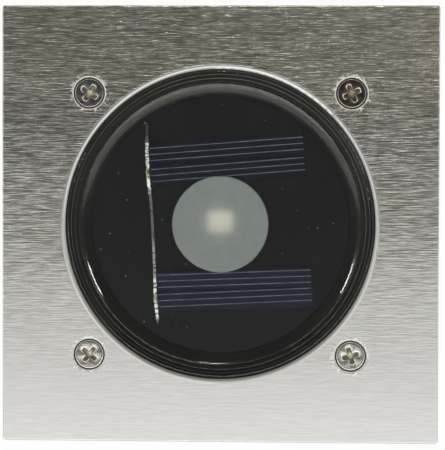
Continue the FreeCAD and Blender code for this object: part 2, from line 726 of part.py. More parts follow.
def make_reflector():
    """White cone between the LED and the diffuser."""
    cup = disc(neck_radius, reflector_bottom, tray_floor_top)
    throat, mouth = REFLECTOR_THROAT_DIAMETER / 2, REFLECTOR_MOUTH_DIAMETER / 2
    return cup.cut(Part.makeCone(throat, mouth, REFLECTOR_HEIGHT, Vector(0, 0, reflector_bottom), UP))


def make_led_board():
    """Small round board at the bottom of the well."""
    return disc(neck_radius, led_board_bottom, reflector_bottom)


def make_led():
    """Square surface-mount LED package with an open cup."""
    top = reflector_bottom + LED_HEIGHT
    package = centred_box(LED_SIDE, LED_SIDE, reflector_bottom, top)
    return package.cut(disc(PHOSPHOR_DIAMETER / 2, top - PHOSPHOR_DEPTH, top))


def make_led_phosphor():
    """Yellow phosphor that fills the LED's cup."""
    top = reflector_bottom + LED_HEIGHT
    return disc(PHOSPHOR_DIAMETER / 2, top - PHOSPHOR_DEPTH, top)


def make_driver_board():
    """Circuit board hung from the tray's two posts."""
    board = centred_box(DRIVER_LENGTH, DRIVER_WIDTH, driver_bottom, driver_top, 0, driver_y)
    for side in (-1, 1):
        hole = SMALL_SCREW_DIAMETER / 2 + BOARD_HOLE_CLEARANCE
        board = board.cut(disc(hole, driver_bottom, driver_top, side * post_x, driver_y))
    return board


def make_small_screw(seat, grip, x, y):
    """Slotted screw driven upwards, with its head below the seat."""
    head_bottom = seat - SMALL_SCREW_HEAD_HEIGHT
    screw = disc(SMALL_SCREW_HEAD_DIAMETER / 2, head_bottom, seat, x, y)
    screw = screw.fuse(disc(SMALL_SCREW_DIAMETER / 2, seat, seat + grip, x, y))
    slot_top = head_bottom + SMALL_SCREW_SLOT_DEPTH
    length = SMALL_SCREW_HEAD_DIAMETER
    return screw.cut(centred_box(length, SMALL_SCREW_SLOT_WIDTH, head_bottom, slot_top, x, y))


def make_board_screws():
    """The two screws that hold the driver board to its posts."""
    grip = DRIVER_THICKNESS + SMALL_SCREW_GRIP - BOARD_HOLE_CLEARANCE
    screws = [make_small_screw(driver_bottom, grip, side * post_x, driver_y) for side in (-1, 1)]
    return Part.makeCompound(screws)


def make_driver_chip():
    """Eight-legged driver chip under the board."""
    x, y = on_driver_board(CHIP_PLACE)
    top = driver_bottom - CHIP_STANDOFF
    chip = centred_box(CHIP_LENGTH, CHIP_WIDTH, top - CHIP_HEIGHT, top, x, y)
    leg_low = top - CHIP_HEIGHT / 2
    for place in range(CHIP_LEGS_PER_SIDE):
        leg_x = x + (place - (CHIP_LEGS_PER_SIDE - 1) / 2) * CHIP_LEG_PITCH
        for side in (-1, 1):
            arm_y = y + side * (CHIP_WIDTH + CHIP_LEG_REACH) / 2
            arm = centred_box(CHIP_LEG_WIDTH, CHIP_LEG_REACH, leg_low, leg_low + CHIP_LEG_WIDTH, leg_x, arm_y)
            foot_y = y + side * (CHIP_WIDTH / 2 + CHIP_LEG_REACH - CHIP_LEG_WIDTH / 2)
            foot = centred_box(CHIP_LEG_WIDTH, CHIP_LEG_WIDTH, leg_low, driver_bottom, leg_x, foot_y)
            chip = chip.fuse(arm).fuse(foot)
    return chip.removeSplitter()


def make_inductor():
    """Shielded power inductor under the board."""
    x, y = on_driver_board(INDUCTOR_PLACE)
    low = driver_bottom - INDUCTOR_HEIGHT
    return rounded_slab(INDUCTOR_SIDE, INDUCTOR_SIDE, low, driver_bottom, INDUCTOR_CORNER_RADIUS, x, y)


def make_capacitor():
    """Small electrolytic capacitor under the board, grooved near its base."""
    x, y = on_driver_board(CAPACITOR_PLACE)
    radius = CAPACITOR_DIAMETER / 2
    can = disc(radius, driver_bottom - CAPACITOR_HEIGHT, driver_bottom, x, y)
    groove_low = driver_bottom - CAPACITOR_GROOVE_DROP
    return can.cut(ring(radius - CAPACITOR_GROOVE, radius, groove_low, groove_low + CAPACITOR_GROOVE, x, y))


def make_switch_body():
    """Slide switch case with a slot in its face and a wider track behind it."""
    x, y = on_driver_board(SWITCH_PLACE)
    low = driver_bottom - SWITCH_HEIGHT
    case = centred_box(SWITCH_LENGTH, SWITCH_WIDTH, low, driver_bottom, x, y)
    slack = 2 * SLIDER_CLEARANCE + SWITCH_TRAVEL
    slot = centred_box(KNOB_LENGTH + slack, KNOB_WIDTH + 2 * SLIDER_CLEARANCE, low, low + SWITCH_FACE, x, y)
    track_low, track_high = low + SWITCH_FACE, driver_bottom - SWITCH_ROOF
    track = centred_box(FOOT_LENGTH + slack, FOOT_WIDTH + 2 * SLIDER_CLEARANCE, track_low, track_high, x, y)
    return case.cut(slot).cut(track)


def make_switch_slider():
    """Slider at its off end: a foot in the track and a knob through the slot, ribbed for a nail."""
    x, y = on_driver_board(SWITCH_PLACE)
    x -= SWITCH_TRAVEL / 2
    face = driver_bottom - SWITCH_HEIGHT
    foot_low = face + SWITCH_FACE + SLIDER_CLEARANCE
    foot_high = driver_bottom - SWITCH_ROOF - SLIDER_CLEARANCE
    foot = centred_box(FOOT_LENGTH, FOOT_WIDTH, foot_low, foot_high, x, y)
    knob = centred_box(KNOB_LENGTH, KNOB_WIDTH, face - KNOB_REACH, foot_low, x, y)
    groove = KNOB_LENGTH / (2 * KNOB_GROOVES + 1)
    low = face - KNOB_REACH
    for place in range(KNOB_GROOVES):
        groove_x = x - KNOB_LENGTH / 2 + (2 * place + 1.5) * groove
        knob = knob.cut(centred_box(groove, KNOB_WIDTH, low, low + groove, groove_x, y))
    return foot.fuse(knob).removeSplitter()


def make_battery_holder():
    """Open holder under the tray: base, two low side walls and two end walls with slots for the tabs."""
    length, width = 2 * holder_half_length, 2 * holder_half_width
    end_bottom = battery_z - HOLDER_END_DROP
    holder = centred_box(length, width, end_bottom, tray_floor_bottom, 0, battery_y)
    bay_width = width - 2 * HOLDER_WALL
    holder = holder.cut(centred_box(holder_bore, bay_width, end_bottom, holder_bottom, 0, battery_y))
    holder = holder.cut(centred_box(holder_bore, width, end_bottom, battery_z, 0, battery_y))
    for x, y in holder_screw_places():
        shank = SMALL_SCREW_DIAMETER / 2 + BOARD_HOLE_CLEARANCE
        holder = holder.cut(disc(shank, holder_bottom, tray_floor_bottom, x, y))
        sink = SMALL_SCREW_HEAD_DIAMETER / 2 + BOARD_HOLE_CLEARANCE
        holder = holder.cut(disc(sink, holder_bottom, holder_screw_seat(), x, y))
    gap = CONTACT_THICKNESS + 2 * TAB_CLEARANCE
    for side in (-1, 1):
        x = side * (holder_half_length - HOLDER_WALL / 2)
        slot_width = TAB_WIDTH + 2 * TAB_CLEARANCE
        slot = centred_box(HOLDER_WALL, slot_width, tab_z - gap / 2, tab_z + gap / 2, x, battery_y)
        holder = holder.cut(slot)
    return holder.removeSplitter()


def holder_screw_seat():
    """Height of the face that the holder screws' heads press on."""
    return holder_bottom + SMALL_SCREW_HEAD_HEIGHT - BATTERY_CLEARANCE / 2


def make_holder_screws():
    """The two sunk screws between the holder and the tray."""
    seat = holder_screw_seat()
    grip = tray_floor_bottom - seat + HOLDER_SCREW_GRIP - BOARD_HOLE_CLEARANCE
    return Part.makeCompound([make_small_screw(seat, grip, x, y) for x, y in holder_screw_places()])


def make_contact(side):
    """Contact plate against one end wall, with a solder tab through the wall."""
    inner = holder_bore / 2
    plate_x = side * (inner - CONTACT_THICKNESS / 2)
    low, high = battery_z - CONTACT_WIDTH / 2, holder_bottom
    plate = centred_box(CONTACT_THICKNESS, CONTACT_WIDTH, low, high, plate_x, battery_y)
    reach = HOLDER_WALL + TAB_REACH
    tab_x = side * (inner + reach / 2)
    half = CONTACT_THICKNESS / 2
    tab = centred_box(reach, TAB_WIDTH, tab_z - half, tab_z + half, tab_x, battery_y)
    return plate.fuse(tab).removeSplitter()


def biarc(start, start_way, end, end_way):
    """Two arcs that leave start and reach end along the given ways, tangent where they meet."""
    chord = end.sub(start)
    ways = start_way.add(end_way)
    a = 2 * (1 - start_way.dot(end_way))
    b = 2 * chord.dot(ways)
    c = -chord.dot(chord)
    reach = (-b + math.sqrt(b * b - 4 * a * c)) / (2 * a)
    first = start.add(Vector(start_way).multiply(reach))
    second = end.sub(Vector(end_way).multiply(reach))
    joint = first.add(second).multiply(0.5)
    return [tangent_arc(start, first, joint), tangent_arc(joint, second, end)]


def tangent_arc(start, corner, end):
    """The arc that touches both legs of a corner whose legs are equally long."""
    back = start.sub(corner)
    on = end.sub(corner)
    leg = back.Length
    half = back.getAngle(on) / 2
    bisector = back.add(on).normalize()
    radius = leg * math.tan(half)
    middle = corner.add(bisector.multiply(leg / math.cos(half) - radius))
    return Part.Arc(start, middle, end).toShape()


def spring_point(turn):
    """Point and way of the cone spring's wire, by turns from its base."""
    share = turn / SPRING_TURNS
    angle = 2 * math.pi * turn
    radius = SPRING_BASE_RADIUS + (SPRING_TIP_RADIUS - SPRING_BASE_RADIUS) * share
    climb = SPRING_LENGTH - 2 * CONTACT_TO_BATTERY - SPRING_WIRE
    x = battery_tail_x - SPRING_LENGTH + CONTACT_TO_BATTERY + SPRING_WIRE / 2 + climb * share
    shrink = (SPRING_TIP_RADIUS - SPRING_BASE_RADIUS) / SPRING_TURNS / (2 * math.pi)
    point = Vector(x, battery_y + radius * math.cos(angle), battery_z + radius * math.sin(angle))
    way = Vector(
        climb / SPRING_TURNS / (2 * math.pi),
        shrink * math.cos(angle) - radius * math.sin(angle),
        shrink * math.sin(angle) + radius * math.cos(angle),
    )
    return point, way.normalize()


def make_battery_spring():
    """Cone spring on the negative contact, one unbroken wire with short straight ends."""
    steps = SPRING_TURNS * SPRING_ARCS_PER_TURN
    stations = [spring_point(step / SPRING_ARCS_PER_TURN) for step in range(steps + 1)]
    edges = []
    first, first_way = stations[0]
    tail = first.sub(Vector(first_way).multiply(SPRING_WIRE))
    edges.append(Part.LineSegment(tail, first).toShape())
    for (start, start_way), (end, end_way) in zip(stations, stations[1:]):
        edges += biarc(start, start_way, end, end_way)
    last, last_way = stations[-1]
    edges.append(Part.LineSegment(last, last.add(Vector(last_way).multiply(SPRING_WIRE))).toShape())
    nearest = min(
        (a[0].sub(b[0]).Length for i, a in enumerate(stations) for b in stations[i + SPRING_ARCS_PER_TURN:]),
    )
    print(f"battery spring: least gap between turns {nearest - SPRING_WIRE:.2f} mm")
    return swept_tube(Part.Wire(edges), tail, first_way, SPRING_WIRE)


def swept_tube(path, start, way, diameter):
    """A round solid tube along a path, with its volume compared with section times length."""
    section = Part.Wire(Part.makeCircle(diameter / 2, start, way))
    tube = path.makePipeShell([section], True, False)
    ideal = math.pi * diameter ** 2 / 4 * path.Length
    if abs(tube.Volume - ideal) > TUBE_VOLUME_TOLERANCE * ideal:
        raise ValueError(f"tube volume {tube.Volume:.2f} is far from {ideal:.2f}")
    return tube


def along_battery(radius, start, end):
    """A cylinder on the battery's axis between two places along X."""
    return Part.makeCylinder(radius, end - start, Vector(start, battery_y, battery_z), Vector(1, 0, 0))


def make_battery_can():
    """Rechargeable cell's steel cup, open at the positive end."""
    cup = along_battery(can_radius, battery_tail_x, can_mouth_x)
    inside = along_battery(can_radius - BATTERY_CAN_WALL, battery_tail_x + BATTERY_CAN_WALL, can_mouth_x)
    return cup.cut(inside)


def make_battery_cap():
    """Positive cap with its raised button, closing the cup's mouth."""
    cap = along_battery(can_radius, can_mouth_x, can_mouth_x + BATTERY_CAP_THICKNESS)
    return cap.fuse(along_battery(BATTERY_NUB_DIAMETER / 2, can_mouth_x, battery_tip_x))


def make_battery_core():
    """Rolled electrodes inside the cup."""
    radius = can_radius - BATTERY_CAN_WALL - BATTERY_CORE_CLEARANCE
    return along_battery(radius, battery_tail_x + BATTERY_CAN_WALL, can_mouth_x)


def make_battery_sleeve():
    """Shrink sleeve round the can, left open over both ends."""
    start, end = battery_tail_x + SLEEVE_LIP, can_mouth_x - SLEEVE_LIP
    return along_battery(BATTERY_DIAMETER / 2, start, end).cut(along_battery(can_radius, start, end))


def make_lead(name, points):
    """Insulated lead along straight runs, with each corner as round as its runs allow."""
    route = [Vector(*point) for point in points]
    edges = []
    radii = []
    place = route[0]
    for before, corner, after in zip(route, route[1:], route[2:]):
        back, on = before.sub(corner), after.sub(corner)
        leg = LEAD_BEND_SHARE * min(back.Length, on.Length)
        begin = corner.add(back.normalize().multiply(leg))
        end = corner.add(on.normalize().multiply(leg))
        radii.append(leg * math.tan(begin.sub(corner).getAngle(end.sub(corner)) / 2))
        edges.append(Part.LineSegment(place, begin).toShape())
        edges.append(tangent_arc(begin, corner, end))
        place = end
    edges.append(Part.LineSegment(place, route[-1]).toShape())
    print(f"{name}: bend radii " + ", ".join(f"{radius:.1f}" for radius in radii) + " mm")
    return swept_tube(Part.Wire(edges), route[0], route[1].sub(route[0]), LEAD_DIAMETER)


def make_solar_lead(name, side):
    """Lead from the back of the solar board through the tray to the driver board's top."""
    x, y = solar_lead_place(side)
    end_x = x + side * LEAD_SLACK
    return make_lead(name, [
        (x, y, tray_floor_top),
        (x, y, tray_floor_bottom - LEAD_SLACK),
        (end_x, y, driver_top + LEAD_SLACK),
        (end_x, y, driver_top),
    ])


def make_led_lead(name, side):
    """Lead from the LED board under the well to the driver board's underside."""
    x, y = led_lead_place(side)
    low = well_bottom - LEAD_DROP
    end_x = x + LED_LEAD_SHIFT
    end_y = driver_y - DRIVER_WIDTH / 2 + LED_LEAD_EDGE
    return make_lead(name, [
        (x, y, led_board_bottom),
        (x, y, low),
        (end_x, end_y, low),
        (end_x, end_y, driver_bottom),
    ])


def make_battery_lead(name, side):
    """Lead from a contact's tab round the tray to the driver board's underside."""
    low = driver_bottom - LEAD_DROP
    end_x, end_y = on_driver_board(BATTERY_LEAD_PLACE)
    return make_lead(name, [
        (side * tab_end_x, battery_y, tab_z),
        (side * battery_lead_x, battery_y, tab_z),
        (side * battery_lead_x, battery_y / 4, (tab_z + low) / 2),
        (side * DRIVER_LENGTH / 2, end_y / 2, low),
        (side * end_x, end_y, low),
        (side * end_x, end_y, driver_bottom),
    ])


PIECES = {
    "faceplate": make_faceplate,
    "cover_screws": make_cover_screws,
    "screw_inserts": make_screw_inserts,
    "lens": make_lens,
    "lens_gasket": make_lens_gasket,
    "housing": make_housing,
    "ground_spike": make_spike,
    "carrier": make_carrier,
    "solar_board": make_solar_board,
    "upper_solar_cells": lambda: make_cell_pair(UPPER_PAIR_CENTRE, UPPER_PAIR_TILT),
    "lower_solar_cells": lambda: make_cell_pair(LOWER_PAIR_CENTRE, LOWER_PAIR_TILT),
    "bus_ribbon": make_bus_ribbon,
    "diffuser": make_diffuser,
    "reflector": make_reflector,
    "led_board": make_led_board,
    "led_package": make_led,
    "led_phosphor": make_led_phosphor,
    "driver_board": make_driver_board,
    "board_screws": make_board_screws,
    "driver_chip": make_driver_chip,
    "inductor": make_inductor,
    "capacitor": make_capacitor,
    "switch_body": make_switch_body,
    "switch_slider": make_switch_slider,
    "battery_holder": make_battery_holder,
    "holder_screws": make_holder_screws,
    "positive_contact": lambda: make_contact(1),
    "negative_contact": lambda: make_contact(-1),
    "battery_spring": make_battery_spring,
    "battery_can": make_battery_can,
    "battery_cap": make_battery_cap,
    "battery_core": make_battery_core,
    "battery_sleeve": make_battery_sleeve,
    "solar_lead_red": lambda: make_solar_lead("solar_lead_red", 1),
    "solar_lead_black": lambda: make_solar_lead("solar_lead_black", -1),
    "led_lead_red": lambda: make_led_lead("led_lead_red", 1),
    "led_lead_black": lambda: make_led_lead("led_lead_black", -1),
    "battery_lead_red": lambda: make_battery_lead("battery_lead_red", 1),
    "battery_lead_black": lambda: make_battery_lead("battery_lead_black", -1),
}


def main():
    """Builds each piece and writes it to its own STEP file."""
    os.makedirs("parts", exist_ok=True)
    for name, make in PIECES.items():
        shape = make()
        if not shape.isValid():
            raise ValueError(f"{name} isn't a valid shape")
        shape.exportStep(os.path.join("parts", f"{name}.step"))
        print(f"{name}: {len(shape.Solids)} solids, {shape.Volume / 1000:.2f} cm3")


main()
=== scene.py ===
# %% [markdown]
# # A solar in-ground light
# A square plate of brushed stainless steel frames a clear round lens.
# Under the lens lie a black board with four slim solar cells and a frosted button over the lamp.
# Four screws hold the plate to a black pot, which goes into the ground with a spike below it.
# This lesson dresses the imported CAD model. Solids whose shape is right stay and get a finish of nodes,
# and finer pieces stand for the solids that are too plain from close by.

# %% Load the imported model
import math

import bmesh
import bpy
from mathutils import Matrix, Vector, noise


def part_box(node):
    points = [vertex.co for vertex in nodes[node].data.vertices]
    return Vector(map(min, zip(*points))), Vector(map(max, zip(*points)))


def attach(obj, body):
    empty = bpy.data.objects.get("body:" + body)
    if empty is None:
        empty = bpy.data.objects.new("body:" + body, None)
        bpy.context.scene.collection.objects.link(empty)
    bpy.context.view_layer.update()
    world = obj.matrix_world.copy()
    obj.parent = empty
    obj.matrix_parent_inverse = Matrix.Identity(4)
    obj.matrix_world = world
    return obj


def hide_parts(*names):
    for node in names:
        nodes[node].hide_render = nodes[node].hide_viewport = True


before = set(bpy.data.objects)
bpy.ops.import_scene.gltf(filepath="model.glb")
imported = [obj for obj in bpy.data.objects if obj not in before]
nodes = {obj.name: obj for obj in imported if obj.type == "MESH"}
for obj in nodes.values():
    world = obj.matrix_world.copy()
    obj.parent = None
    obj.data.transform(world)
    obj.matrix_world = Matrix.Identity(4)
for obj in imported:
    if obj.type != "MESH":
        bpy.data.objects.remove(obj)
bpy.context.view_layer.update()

# %% [markdown]
# ## Where things are
# The model is in metres, with +Z up and the ground at zero. Heights and places are read from the solids,
# so that a finer piece lands where its solid is. Small lengths are easier to write in millimetres.

# %% Heights and places from the solids
MM = 0.001


def corners(node):
    """The lowest and the highest corner of a node's box, in millimetres."""
    low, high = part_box(node)
    return low / MM, high / MM


plate_top = corners("faceplate")[1].z
cells_top = corners("upper_solar_cells")[1].z
board_top = corners("solar_board")[1].z
spike_tip = corners("ground_spike")[0].z
print("tops of plate, cells and board:", [round(top, 2) for top in (plate_top, cells_top, board_top)])
print("tip of the spike:", round(spike_tip, 1))

# %% [markdown]
# ## Finishes as sums
# A finish mixes a few patterns, and written as nodes and links that is hard to read.
# A small class wraps an output socket, so that `0.3 + 0.1 * grain` adds its own Math nodes.
# Colours go through a Mix node, because a Math node would turn them grey.

# %% A socket that can stand in a sum


class Value:
    """An output socket of a finish, which adds a Math node for each sum that it stands in."""

    def __init__(self, finish, socket):
        self.finish = finish
        self.socket = socket

    def maths(self, operation, *terms):
        return self.finish.node("ShaderNodeMath", {"operation": operation}, dict(enumerate(terms)))

    def __add__(self, other):
        return self.maths("ADD", self, other)

    def __radd__(self, other):
        return self.maths("ADD", other, self)

    def __sub__(self, other):
        return self.maths("SUBTRACT", self, other)

    def __rsub__(self, other):
        return self.maths("SUBTRACT", other, self)

    def __mul__(self, other):
        return self.maths("MULTIPLY", self, other)

    def __rmul__(self, other):
        return self.maths("MULTIPLY", other, self)

    def __abs__(self):
        return self.maths("ABSOLUTE", self)

    def most(self, other):
        return self.maths("MAXIMUM", self, other)

    def below(self, limit):
        return self.maths("LESS_THAN", self, limit)

    def root(self):
        return self.maths("SQRT", self)

    def sine(self):
        return self.maths("SINE", self)

    def rise(self, low, high):
        """0 below low and 1 above high, with a soft step between them."""
        settings = {"interpolation_type": "SMOOTHSTEP"}
        sockets = {"Value": self, "From Min": low, "From Max": high}
        return self.finish.node("ShaderNodeMapRange", settings, sockets)

    def fall(self, low, high):
        """1 below low and 0 above high, with a soft step between them."""
        return 1 - self.rise(low, high)

    def within(self, low, full, last, high):
        """1 from full to last, with soft steps up from low and down to high."""
        return self.rise(low, full) * self.fall(last, high)

    def near(self, place, reach):
        """1 at a place, and softly less up to a reach on both sides of it."""
        return abs(self - place).fall(0.0, reach)


# %% [markdown]
# ## One way to add nodes
# Every node of a finish comes from one method, which sets the node's options first and then its sockets.
# The whole light needs only a few kinds: noise, dots, mixed colours and relief. Each gets a plain name.
# Most solids are already right in shape, so a finish that is shown goes straight to its solids.

# %% A finish
SPECK_CORE = 0.6


class Finish:
    """The nodes of a material or of the world."""

    def __init__(self, owner, output="ShaderNodeOutputMaterial"):
        owner.use_nodes = True
        self.owner = owner
        self.tree = owner.node_tree
        self.tree.nodes.clear()
        self.output = self.tree.nodes.new(output)

    def node(self, kind, settings=None, sockets=None, out=0):
        """Adds a node: its settings first, then the values or links of its sockets."""
        made = self.tree.nodes.new(kind)
        for name, value in (settings or {}).items():
            setattr(made, name, value)
        for name, value in (sockets or {}).items():
            if isinstance(value, Value):
                self.tree.links.new(value.socket, made.inputs[name])
            else:
                made.inputs[name].default_value = value
        return Value(self, made.outputs[out])

    def place(self, stretch=(1.0, 1.0, 1.0)):
        """Object coordinates in millimetres, stretched along each axis."""
        spot = self.node("ShaderNodeTexCoord", out="Object")
        scale = Vector(stretch) / MM
        return self.node("ShaderNodeVectorMath", {"operation": "MULTIPLY"}, {0: spot, 1: scale})

    def axis(self, place, name):
        """One coordinate of a place."""
        return self.node("ShaderNodeSeparateXYZ", None, {0: place}, out=name)

    def cloud(self, place, scale=1.0, detail=2.0, rough=0.5):
        """Soft noise from 0 to 1."""
        sockets = {"Vector": place, "Scale": scale, "Detail": detail, "Roughness": rough}
        return self.node("ShaderNodeTexNoise", None, sockets)

    def specks(self, place, scale, share, size):
        """1 in sparse dots: a share of the pattern's cells hold one, of the given size."""
        sockets = {"Vector": place, "Scale": scale}
        off = self.node("ShaderNodeTexVoronoi", None, sockets, out="Distance")
        tint = self.node("ShaderNodeTexVoronoi", None, sockets, out="Color")
        return off.fall(SPECK_CORE * size, size) * self.axis(tint, "X").below(share)

    def mix(self, factor, first, second):
        """A colour between two others."""
        return self.node("ShaderNodeMix", {"data_type": "RGBA"}, {0: factor, 6: first, 7: second}, out=2)

    def washed(self, tone, *layers):
        """A colour under further ones, each of them laid on by a share of its own."""
        for share, colour in layers:
            tone = self.mix(share, tone, colour)
        return tone

    def bump(self, height, depth, normal=None):
        """A relief whose height from 0 to 1 stands for a depth in metres."""
        sockets = {"Height": height, "Distance": depth, "Strength": 1.0}
        if normal is not None:
            sockets["Normal"] = normal
        return self.node("ShaderNodeBump", None, sockets)

    def soft_edges(self, radius):
        """Normals that round the sharp edges of a moulding a little."""
        return self.node("ShaderNodeBevel", {"samples": 4}, {"Radius": radius})

    def ray(self, kind):
        """1 for rays of one kind, such as those of the camera."""
        return self.node("ShaderNodeLightPath", out=kind)

    def shader(self, sockets):
        """The main shader, with the numbers that are the same all over set on its own sockets."""
        return self.node("ShaderNodeBsdfPrincipled", None, sockets)

    def show(self, shader, solids=()):
        """Shows a shader, and gives it to solids that stay, in place of their plain colour."""
        self.tree.links.new(shader.socket, self.output.inputs["Surface"])
        for solid in solids:
            slots = nodes[solid].data.materials
            slots.clear()
            slots.append(self.owner)
        print(self.owner.name, len(self.tree.nodes), "nodes", *solids)
        return self


def paint(red, green, blue):
    """A colour as a picture's 0 to 255 numbers give it, for a shader's linear socket."""
    shares = [channel / 255 for channel in (red, green, blue)]
    return (*[x / 12.92 if x < 0.04045 else ((x + 0.055) / 1.055) ** 2.4 for x in shares], 1.0)


def material(name):
    return Finish(bpy.data.materials.new(name))


print("half grey is", round(paint(128, 128, 128)[0], 3), "in a shader")

# %% [markdown]
# ## Brushed stainless steel
# The plate was drawn under an abrasive belt, so its scratches all run along X.
# Noise that is stretched far along X gives the scratches. As relief they tilt the surface a few degrees
# across the grain, which is what makes real brushed steel glow and darken with the light: where a lamp is
# mirrored steadily they hardly show, and where it is only grazed they sparkle.
# A pressed plate is never quite flat, so a second relief gives it a very slight crown. Its tone drifts,
# with painted shade at the upper left and painted light below the middle. Its opening is rolled over, with
# painted shade on the far edge and a painted highlight on the near one, and round each screw it is scuffed,
# with painted shade in the gap round the head.

# %% Brushed steel
SOLID_HEAD_RADIUS = 3.7
HAIR_STRETCH = (0.22, 4.2, 4.2)
STREAK_STRETCH = (0.085, 2.4, 2.4)
SCRATCH_DEPTH = 75e-6
CROWN_MIDDLE = 25.0
CROWN_DEPTH = 5e-7  # metres for each square millimetre
OPENING_WALL = (43.0, 43.6)
OPENING_ROLL = (43.7, 44.1)
HOLE_SHADE = (4.2, 4.42)
HOLE_SCUFF = (4.9, 6.0)
# The box of the solid screws ends a head's radius beyond their axes
screw_at = corners("cover_screws")[1].x - SOLID_HEAD_RADIUS


def from_screw(finish, spot):
    """How far a place is from the axis of the nearest plate screw, in millimetres."""
    off_x = abs(finish.axis(spot, "X")) - screw_at
    off_y = abs(finish.axis(spot, "Y")) - screw_at
    return (off_x * off_x + off_y * off_y).root()


def brushed_steel():
    steel = material("brushed_steel")
    spot = steel.place()
    wide, deep = steel.axis(spot, "X"), steel.axis(spot, "Y")
    from_axis = (wide * wide + deep * deep).root()
    rolled = from_axis.fall(*OPENING_ROLL)
    flat = 1 - rolled
    right = wide.rise(-30.0, 45.0)
    near_half = deep.fall(-30.0, 15.0)
    from_hole = from_screw(steel, spot)
    scuff = from_hole.fall(*HOLE_SCUFF) * steel.cloud(spot, 0.9, 3.0, 0.6).rise(0.52, 0.64)
    # Painted shade in the gap between each screw head and its hole
    gap_shade = from_hole.fall(*HOLE_SHADE)

    hair = steel.cloud(steel.place(HAIR_STRETCH), rough=0.55)
    streak = steel.cloud(steel.place(STREAK_STRETCH))
    grain = 0.72 * hair + 0.28 * streak
    lively = (0.08 + 0.92 * deep.rise(-50.0, 20.0)) * flat
    from_crest = deep - CROWN_MIDDLE
    crown = steel.bump(-1 * from_crest * from_crest, CROWN_DEPTH)

    yellowed = deep.rise(-45.0, 5.0) * flat
    dark = steel.mix(yellowed, paint(120, 118, 111), paint(121, 120, 106))
    light = steel.mix(yellowed, paint(236, 235, 233), paint(237, 236, 228))
    tone = steel.washed(
        steel.mix(0.5 + lively * (grain.rise(0.33, 0.67) - 0.5), dark, light),
        # Over the plate: painted shade at the upper left, warmer at the top, painted light below the middle
        (0.14 * (1 - right) * deep.near(24.0, 16.0), paint(62, 62, 56)),
        ((0.12 + 0.2 * right) * deep.rise(24.0, 44.0) * flat, paint(255, 246, 216)),
        ((0.1 + 0.06 * right) * deep.near(-18.0, 20.0), paint(255, 255, 252)),
        # At the opening: painted shade on the far rolled edge, a painted highlight on the near rolled edge,
        # and painted shade on the wall under the near one
        (0.36 * rolled * deep.rise(0.0, 30.0), paint(60, 60, 58)),
        (0.5 * rolled * near_half, paint(255, 251, 240)),
        (0.6 * near_half * from_axis.fall(*OPENING_WALL), paint(70, 70, 67)),
        # Round the screws: pale scuffs, and painted shade in the gap round each head
        (0.6 * scuff, paint(232, 228, 220)),
        (gap_shade, paint(34, 32, 29)),
    )
    shader = steel.shader({
        "Base Color": tone,
        "Metallic": 1 - 0.8 * gap_shade,
        "Roughness": 0.24 + 0.05 * grain + 0.2 * scuff + 0.2 * gap_shade + 0.3 * rolled * near_half,
        "Normal": steel.bump(lively * grain + 0.25 * scuff, SCRATCH_DEPTH, normal=crown),
    })
    return steel.show(shader, ["faceplate"])


brushed_steel()
print("screws at", round(screw_at, 2), "mm")

# %% [markdown]
# ## Plated metal
# Screws, contacts and the battery's can are steel under a thin plating. A plating is smoother than brushed
# steel and a little cloudy, with fine random scratches. One function makes them all, from a colour and a
# roughness, so that the small metal parts stay alike.

# %% Plated metal
PLATING_SCRATCH = (6.0, 0.5, 2.0)


def plated(name, solids, bright, dull, roughness):
    metal = material(name)
    cloudy = metal.cloud(metal.place(), 0.9, 4.0, 0.6)
    scratch = metal.cloud(metal.place(PLATING_SCRATCH), 1.4, 3.0, 0.65)
    wear = 0.6 * cloudy + 0.4 * scratch
    shader = metal.shader({
        "Base Color": metal.mix(wear.rise(0.3, 0.7), dull, bright),
        "Metallic": 1.0,
        "Roughness": roughness + 0.16 * wear,
        "Normal": metal.bump(wear, 3e-6),
    })
    return metal.show(shader, solids)


contacts = ["positive_contact", "negative_contact"]
small_screws = ["board_screws", "holder_screws"]
nickel_finish = plated("plated_contacts", contacts, paint(214, 208, 196), paint(170, 164, 152), 0.18)
plated("plated_can", ["battery_can", "battery_cap"], paint(208, 208, 206), paint(172, 172, 170), 0.2)
plated("plated_small_screws", small_screws, paint(190, 188, 182), paint(128, 126, 120), 0.24)
plated("plated_switch_case", ["switch_body"], paint(200, 200, 198), paint(160, 160, 158), 0.26)
plated("turned_brass", ["screw_inserts"], paint(214, 178, 104), paint(164, 128, 62), 0.22)

# %% [markdown]
# ## Moulded plastic
# Pot, spike and holder are black mouldings from textured tools. The texture is a fine leathery relief,
# the gloss varies in soft clouds where the melt flowed, and edges are never sharp.
# Rounded edges come from the Bevel node, which turns the normals near an edge as a small radius would.
# The same function serves the white cup, the gasket and the small black parts, each with its own texture.

# %% Moulded plastic
MELT_STRETCH = (0.05, 0.05, 0.02)


def moulded(name, solids, colour, pale, roughness, texture=1.6, relief=12e-6, edge=0.35 * MM):
    plastic = material(name)
    spot = plastic.place()
    leather = plastic.cloud(spot, texture, 3.0, 0.6)
    flow = plastic.cloud(plastic.place(MELT_STRETCH), 1.0, 3.0)
    rub = plastic.specks(spot, 0.35, 0.25, 0.12)
    shader = plastic.shader({
        "Base Color": plastic.mix(0.55 * flow.rise(0.35, 0.75) + 0.2 * rub, colour, pale),
        "Roughness": roughness + 0.12 * (flow - 0.5) + 0.1 * (leather - 0.5),
        "Normal": plastic.bump(leather, relief, normal=plastic.soft_edges(edge)),
        "Specular IOR Level": 0.45,
    })
    return plastic.show(shader, solids)


